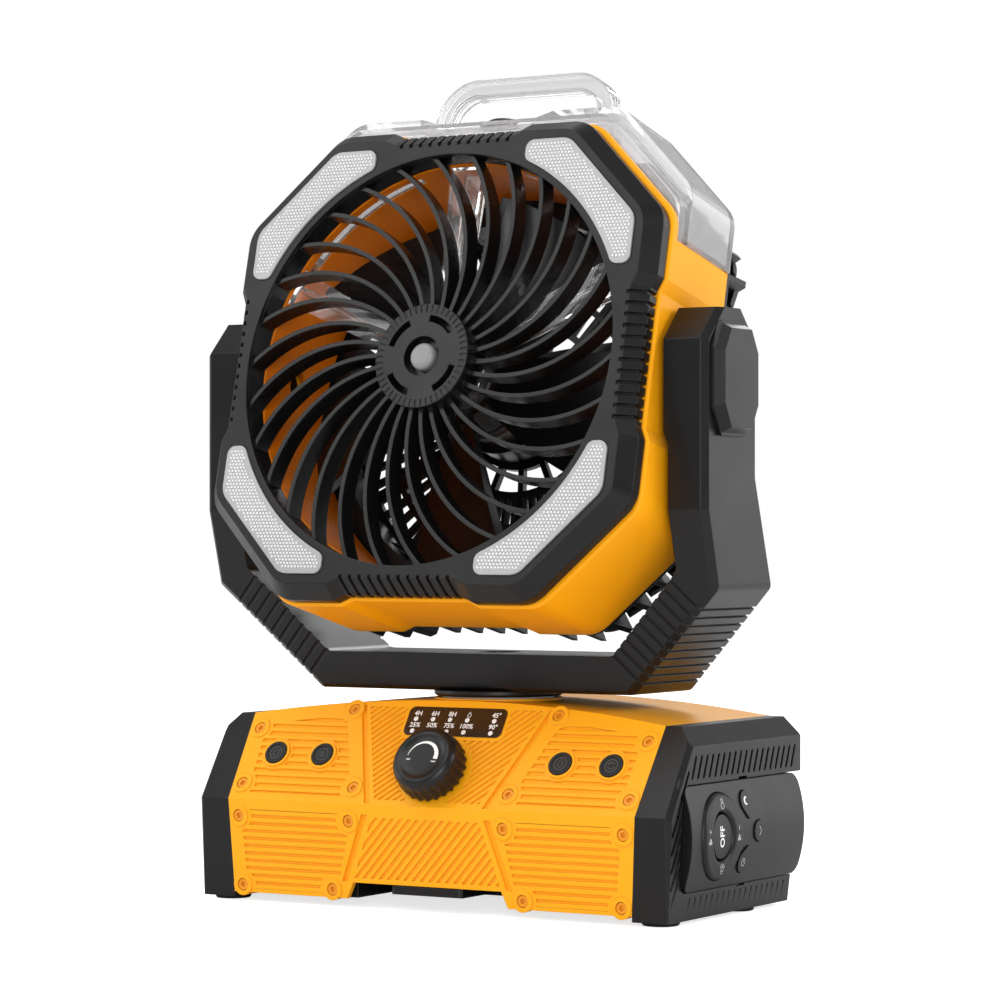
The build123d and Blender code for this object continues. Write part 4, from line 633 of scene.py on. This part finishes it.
def drawSwing(bm, place, line, high):
    for start in (20, 200):
        points = arcPoints(1.35, start, start + 130, 12)
        addLine(bm, place, [(x * mm, y * mm) for x, y in points], line, high)
        tip = Vector(points[-1])
        for barb in arcPoints(0.6, start + 70, start + 150, 2, tip.x, tip.y):
            addLine(bm, place, [(tip.x * mm, tip.y * mm), (barb[0] * mm, barb[1] * mm)], line, high)


def makeButtonMarks(b):
    drawings = {"power": drawPower, "light": drawLamp, "mist": drawDrop, "swing": drawSwing}
    for name, draw in drawings.items():
        place = slopePlace(b["face"], b[name], b["s"])
        bm = bmesh.new()
        addRing(bm, place, b["ring"] * mm, b["line"] * mm, b["height"] * mm)
        draw(bm, place, b["line"] * mm, b["height"] * mm)
        finishPiece(name + "_symbol", bm, "keyPrint", name + "_button")


makeButtonMarks(buttonMarks)


# printed symbols on the remote, laid on its keys
remoteMarks = {"y": -20.1, "z": 31.1, "ringY": 11.6, "ringZ": 12.2, "line": 0.36,
               "thinLine": 0.288, "height": 0.05, "wordSize": 4.6, "moon": (20.7, 12.0),
               "bow": (29.0, 0.1), "clock": (18.0, -10.9)}
probeX = 0.2  # metres, right of everything


# moves flat marks in the (y, z) plane onto the surface behind them
def layOn(bm, tree):
    for vertex in bm.verts:
        hit = tree.ray_cast(Vector((probeX, vertex.co.y, vertex.co.z)), Vector((-1, 0, 0)))[0]
        if hit:
            vertex.co.x += hit.x


def makeRemoteMarks(r):
    line, thinLine, high = r["line"] * mm, r["thinLine"] * mm, r["height"] * mm
    flat = planeMatrix((0, 0, 0), (0, 1, 0), (0, 0, 1))

    def at(y, z):
        return flat @ Matrix.Translation(((r["y"] + y) * mm, (r["z"] + z) * mm, 0))

    # each key's node has the same name as its body
    def lay(name, bm, body, finish):
        layOn(bm, surfaceTree(body))
        finishPiece(name, bm, finish, body)

    off = bmesh.new()
    addText(off, at(0, 0), "OFF", 0, 0, r["wordSize"] * mm, high, math.pi / 2)
    lay("remote_off_word", off, "remote_off_key", "whitePrint")

    ring = bmesh.new()
    top = at(0, r["ringZ"])
    addRing(ring, top @ Matrix.Translation((0, -0.7 * mm, 0)), 1.15 * mm, line, high)
    addRing(ring, top @ Matrix.Translation((0, 1.1 * mm, 0)), 0.7 * mm, line, high)
    low = at(0, -r["ringZ"])
    addRing(ring, low @ Matrix.Translation((0, 0.2 * mm, 0)), 1.0 * mm, line, high)
    addLine(ring, low, [(-0.5 * mm, -1.5 * mm), (0.5 * mm, -1.5 * mm)], line, high)
    for degrees in (30, 60, 90, 120, 150):
        turn = math.radians(degrees)
        ends = [(q * mm * math.cos(turn), (0.2 + q * math.sin(turn)) * mm) for q in (1.5, 2.1)]
        addLine(ring, low, ends, thinLine, high)
    for side in (-1, 1):
        blades = at(side * r["ringY"], -1.2)
        for i in range(3):
            turn = math.radians(90 + 120 * i)
            centre = Vector((0.75 * math.cos(turn), 0.75 * math.sin(turn))) * mm
            addDisc(ring, blades, 0.62 * mm, high, centre.x, centre.y, 14)
        sign = at(side * r["ringY"], 2.6)
        addLine(ring, sign, [(0, -0.8 * mm), (0, 0.8 * mm)], line, high)
        if side < 0:
            addLine(ring, sign, [(-0.8 * mm, 0), (0.8 * mm, 0)], line, high)
    lay("remote_ring_symbols", ring, "remote_ring_key", "iconPrint")

    moon = bmesh.new()
    crescent = [(x * mm, y * mm) for x, y in arcPoints(1.3, 60, 300, 20)]
    widths = [(0.25 + 0.75 * math.sin(math.pi * i / 19)) * mm for i in range(20)]
    addStrip(moon, at(*r["moon"]), crescent, widths, high)
    lay("remote_light_symbol", moon, "remote_light_key", "whitePrint")

    bow = bmesh.new()
    curve = [(x * mm, y * mm) for x, y in arcPoints(1.6, -75, 75, 16)]
    addLine(bow, at(*r["bow"]), curve, line, high)
    lay("remote_swing_symbol", bow, "remote_swing_key", "iconPrint")

    clock = bmesh.new()
    addRing(clock, at(*r["clock"]), 1.4 * mm, thinLine, high)
    hands = [(0, 0.9 * mm), (0, 0), (0.6 * mm, 0)]
    addLine(clock, at(*r["clock"]), hands, thinLine, high)
    lay("remote_timer_symbol", clock, "remote_timer_key", "iconPrint")


makeRemoteMarks(remoteMarks)
print("marks: window, dial, buttons and remote")


# small round prisms over the lamp lenses, in staggered rows; rings are share of radius and height
lensPrisms = {"pitch": 1.5, "rowPitch": 0.866, "radius": 0.62, "height": 0.34, "margin": 1.7,
              "face": -36.1, "sides": 8, "reach": 88.0, "probeFrom": 60.0, "flatness": 0.05,
              "rings": ((1.0, 0.0), (0.78, 0.62), (0.36, 0.94))}


def makeLensPrisms(p):
    rowStep = p["pitch"] * p["rowPitch"]
    turns = [math.tau * i / p["sides"] for i in range(p["sides"])]
    rim = [(p["margin"] * math.cos(turn), p["margin"] * math.sin(turn)) for turn in turns]
    for name in nodeFinishes["lampLens"]:
        tree = surfaceTree(name)
        bm = bmesh.new()
        for row in range(int(2 * p["reach"] / rowStep)):
            z = -p["reach"] + row * rowStep
            for column in range(int(2 * p["reach"] / p["pitch"])):
                x = -p["reach"] + (column + 0.5 * (row % 2)) * p["pitch"]
                if insideLens(tree, x, z, rim + [(0.0, 0.0)], p):
                    addPrism(bm, x, z, turns, p)
        finishPiece(name.replace("_lens", "_prisms"), bm, "lensPrism", "head", True)


def headSpot(x, y, z):
    return headPivot + Vector((x * mm, 0, 0)) + headBack * y * mm + headUp * z * mm


def addPrism(bm, x, z, turns, p):
    loops = []
    for share, level in p["rings"]:
        reach = p["radius"] * share
        loops.append([bm.verts.new(headSpot(x + reach * math.cos(turn),
                                            p["face"] - level * p["height"],
                                            z + reach * math.sin(turn))) for turn in turns])
    skinLoops(bm, loops)


# true where the lens is flat all round x, z
def insideLens(tree, x, z, probes, p):
    for dx, dz in probes:
        hit = tree.ray_cast(headSpot(x + dx, -p["probeFrom"], z + dz), headBack)[0]
        if hit is None:
            return False
        if abs((hit - headPivot).dot(headBack) - p["face"] * mm) > p["flatness"] * mm:
            return False
    return True


makeLensPrisms(lensPrisms)
print("lenses: prisms laid")


# fine slats between the rings of the rear grille
rearSlats = {"count": 64, "inner": 35.0, "outer": 73.4, "width": 1.7, "front": 40.3,
             "back": 42.7, "lean": 0.5, "start": 1.4}
boxFaces = ((0, 1, 3, 2), (4, 6, 7, 5), (0, 4, 5, 1), (1, 5, 7, 3), (3, 7, 6, 2), (2, 6, 4, 0))


def makeRearSlats(r):
    bm = bmesh.new()
    for i in range(r["count"]):
        turn = math.tau * (i + r["start"]) / r["count"]
        out = Vector((math.cos(turn), 0, 0)) + headUp * math.sin(turn)
        side = Vector((-math.sin(turn), 0, 0)) + headUp * math.cos(turn)
        corners = []
        for reach in (r["inner"], r["outer"]):
            for depth, lean in ((r["front"], -r["lean"]), (r["back"], r["lean"])):
                for half in (-0.5, 0.5):
                    across = side * (half * r["width"] + lean)
                    spot = headPivot + (out * reach + headBack * depth + across) * mm
                    corners.append(bm.verts.new(spot))
        for face in boxFaces:
            bm.faces.new([corners[k] for k in face])
    finishPiece("rear_grille_slats", bm, "blackHousing", "head")


makeRearSlats(rearSlats)
print("rear grille:", rearSlats["count"], "slats")


# 1 for rays from the camera or through clear plastic
def seenDirectly(tree):
    rays = addNode(tree, "ShaderNodeLightPath", -500, 300)
    return scaled(tree, rays.outputs["Is Camera Ray"], rays.outputs["Is Transmission Ray"],
                  -300, 300, "MAXIMUM")


# half size in metres, level just under the feet, and the glow that lifts it to white
floorLook = {"size": 30.0, "steps": 24, "level": -0.0002, "grey": 0.86, "roughness": 0.9,
             "specular": 0.1, "glow": 0.74}


def makeFloor(f):
    bm = bmesh.new()
    steps = f["steps"]
    marks = [-f["size"] + 2 * f["size"] * i / steps for i in range(steps + 1)]
    grid = [[bm.verts.new((x, y, f["level"])) for y in marks] for x in marks]
    for i in range(steps):
        for j in range(steps):
            bm.faces.new((grid[i][j], grid[i + 1][j], grid[i + 1][j + 1], grid[i][j + 1]))
    mesh = bpy.data.meshes.new("floor")
    bm.to_mesh(mesh)
    bm.free()
    floor = bpy.data.objects.new("floor", mesh)
    bpy.context.scene.collection.objects.link(floor)
    material, tree, shader, output = startMaterial("paleFloor")
    link = tree.links.new
    shader.inputs["Base Color"].default_value = (f["grey"], f["grey"], f["grey"], 1.0)
    shader.inputs["Roughness"].default_value = f["roughness"]
    shader.inputs["Specular IOR Level"].default_value = f["specular"]
    white = addNode(tree, "ShaderNodeEmission", 300, -300)
    white.inputs["Strength"].default_value = f["glow"]
    lifted = addNode(tree, "ShaderNodeAddShader", 600, -200)
    link(shader.outputs["BSDF"], lifted.inputs[0])
    link(white.outputs["Emission"], lifted.inputs[1])
    mix = addNode(tree, "ShaderNodeMixShader", 750, 0)
    link(seenDirectly(tree), mix.inputs["Fac"])
    link(shader.outputs["BSDF"], mix.inputs[1])
    link(lifted.outputs["Shader"], mix.inputs[2])
    link(mix.outputs["Shader"], output.inputs["Surface"])
    mesh.materials.append(material)


# soft fill on the object, plain white where it is seen directly
def makeWorld(strength):
    world = bpy.data.worlds.new("studio")
    bpy.context.scene.world = world
    world.use_nodes = True
    tree = world.node_tree
    tree.nodes.clear()
    link = tree.links.new
    lit = addNode(tree, "ShaderNodeBackground", 0, 0)
    lit.inputs["Strength"].default_value = strength
    seen = addNode(tree, "ShaderNodeBackground", 0, -200)
    seen.inputs["Color"].default_value = (1.0, 1.0, 1.0, 1.0)
    lit.inputs["Color"].default_value = (1.0, 1.0, 1.0, 1.0)
    mix = addNode(tree, "ShaderNodeMixShader", 200, 0)
    output = addNode(tree, "ShaderNodeOutputWorld", 400, 0)
    link(seenDirectly(tree), mix.inputs["Fac"])
    link(lit.outputs["Background"], mix.inputs[1])
    link(seen.outputs["Background"], mix.inputs[2])
    link(mix.outputs["Shader"], output.inputs["Surface"])


def addSoftbox(name, spot, target, size, power):
    light = bpy.data.lights.new(name, "AREA")
    light.shape = "RECTANGLE"
    light.size, light.size_y = size
    light.energy = power
    lamp = bpy.data.objects.new(name, light)
    bpy.context.scene.collection.objects.link(lamp)
    lamp.location = spot
    lamp.rotation_euler = (Vector(target) - Vector(spot)).to_track_quat("-Z", "Y").to_euler()


# spot, target and size in metres, power in watts
softboxes = {
    "topBox": ((-0.3, -0.8, 1.9), (0, 0, 0.15), (1.6, 1.2), 17.0),
    "faceBox": ((-1.2, -1.7, 1.35), (0, 0, 0.2), (1.0, 0.8), 7.0),
    "sideBox": ((1.5, 0.5, 0.9), (0.05, 0, 0.1), (0.8, 0.8), 12.0),
    "backBox": ((-0.5, 1.8, 1.5), (0.05, 0, 0.09), (1.0, 1.0), 17.0),
    "rimBox": ((1.4, 1.8, 0.5), (0, 0, 0.2), (2.0, 1.6), 13.0),
    "leftBox": ((-1.9, -0.6, 0.6), (0, 0, 0.15), (0.9, 1.2), 7.0),
    "frontBox": ((1.15, -1.9, 0.55), (0, 0, 0.2), (1.0, 1.0), 20.0),
}
worldFill = 0.35
makeFloor(floorLook)
makeWorld(worldFill)
for boxName, box in softboxes.items():
    addSoftbox(boxName, *box)

view = {"spot": (0.693, -1.1542, 0.1440), "turn": 30.96, "lens": 123.9, "rise": 0.0316}
camera = bpy.data.objects.new("camera", bpy.data.cameras.new("camera"))
bpy.context.scene.collection.objects.link(camera)
camera.location = view["spot"]
camera.rotation_euler = (math.radians(90), 0, math.radians(view["turn"]))
camera.data.lens = view["lens"]
camera.data.shift_y = view["rise"]
bpy.context.scene.camera = camera
bpy.context.scene.view_settings.view_transform = "Standard"
print("studio: floor, world,", len(softboxes), "softboxes and camera")
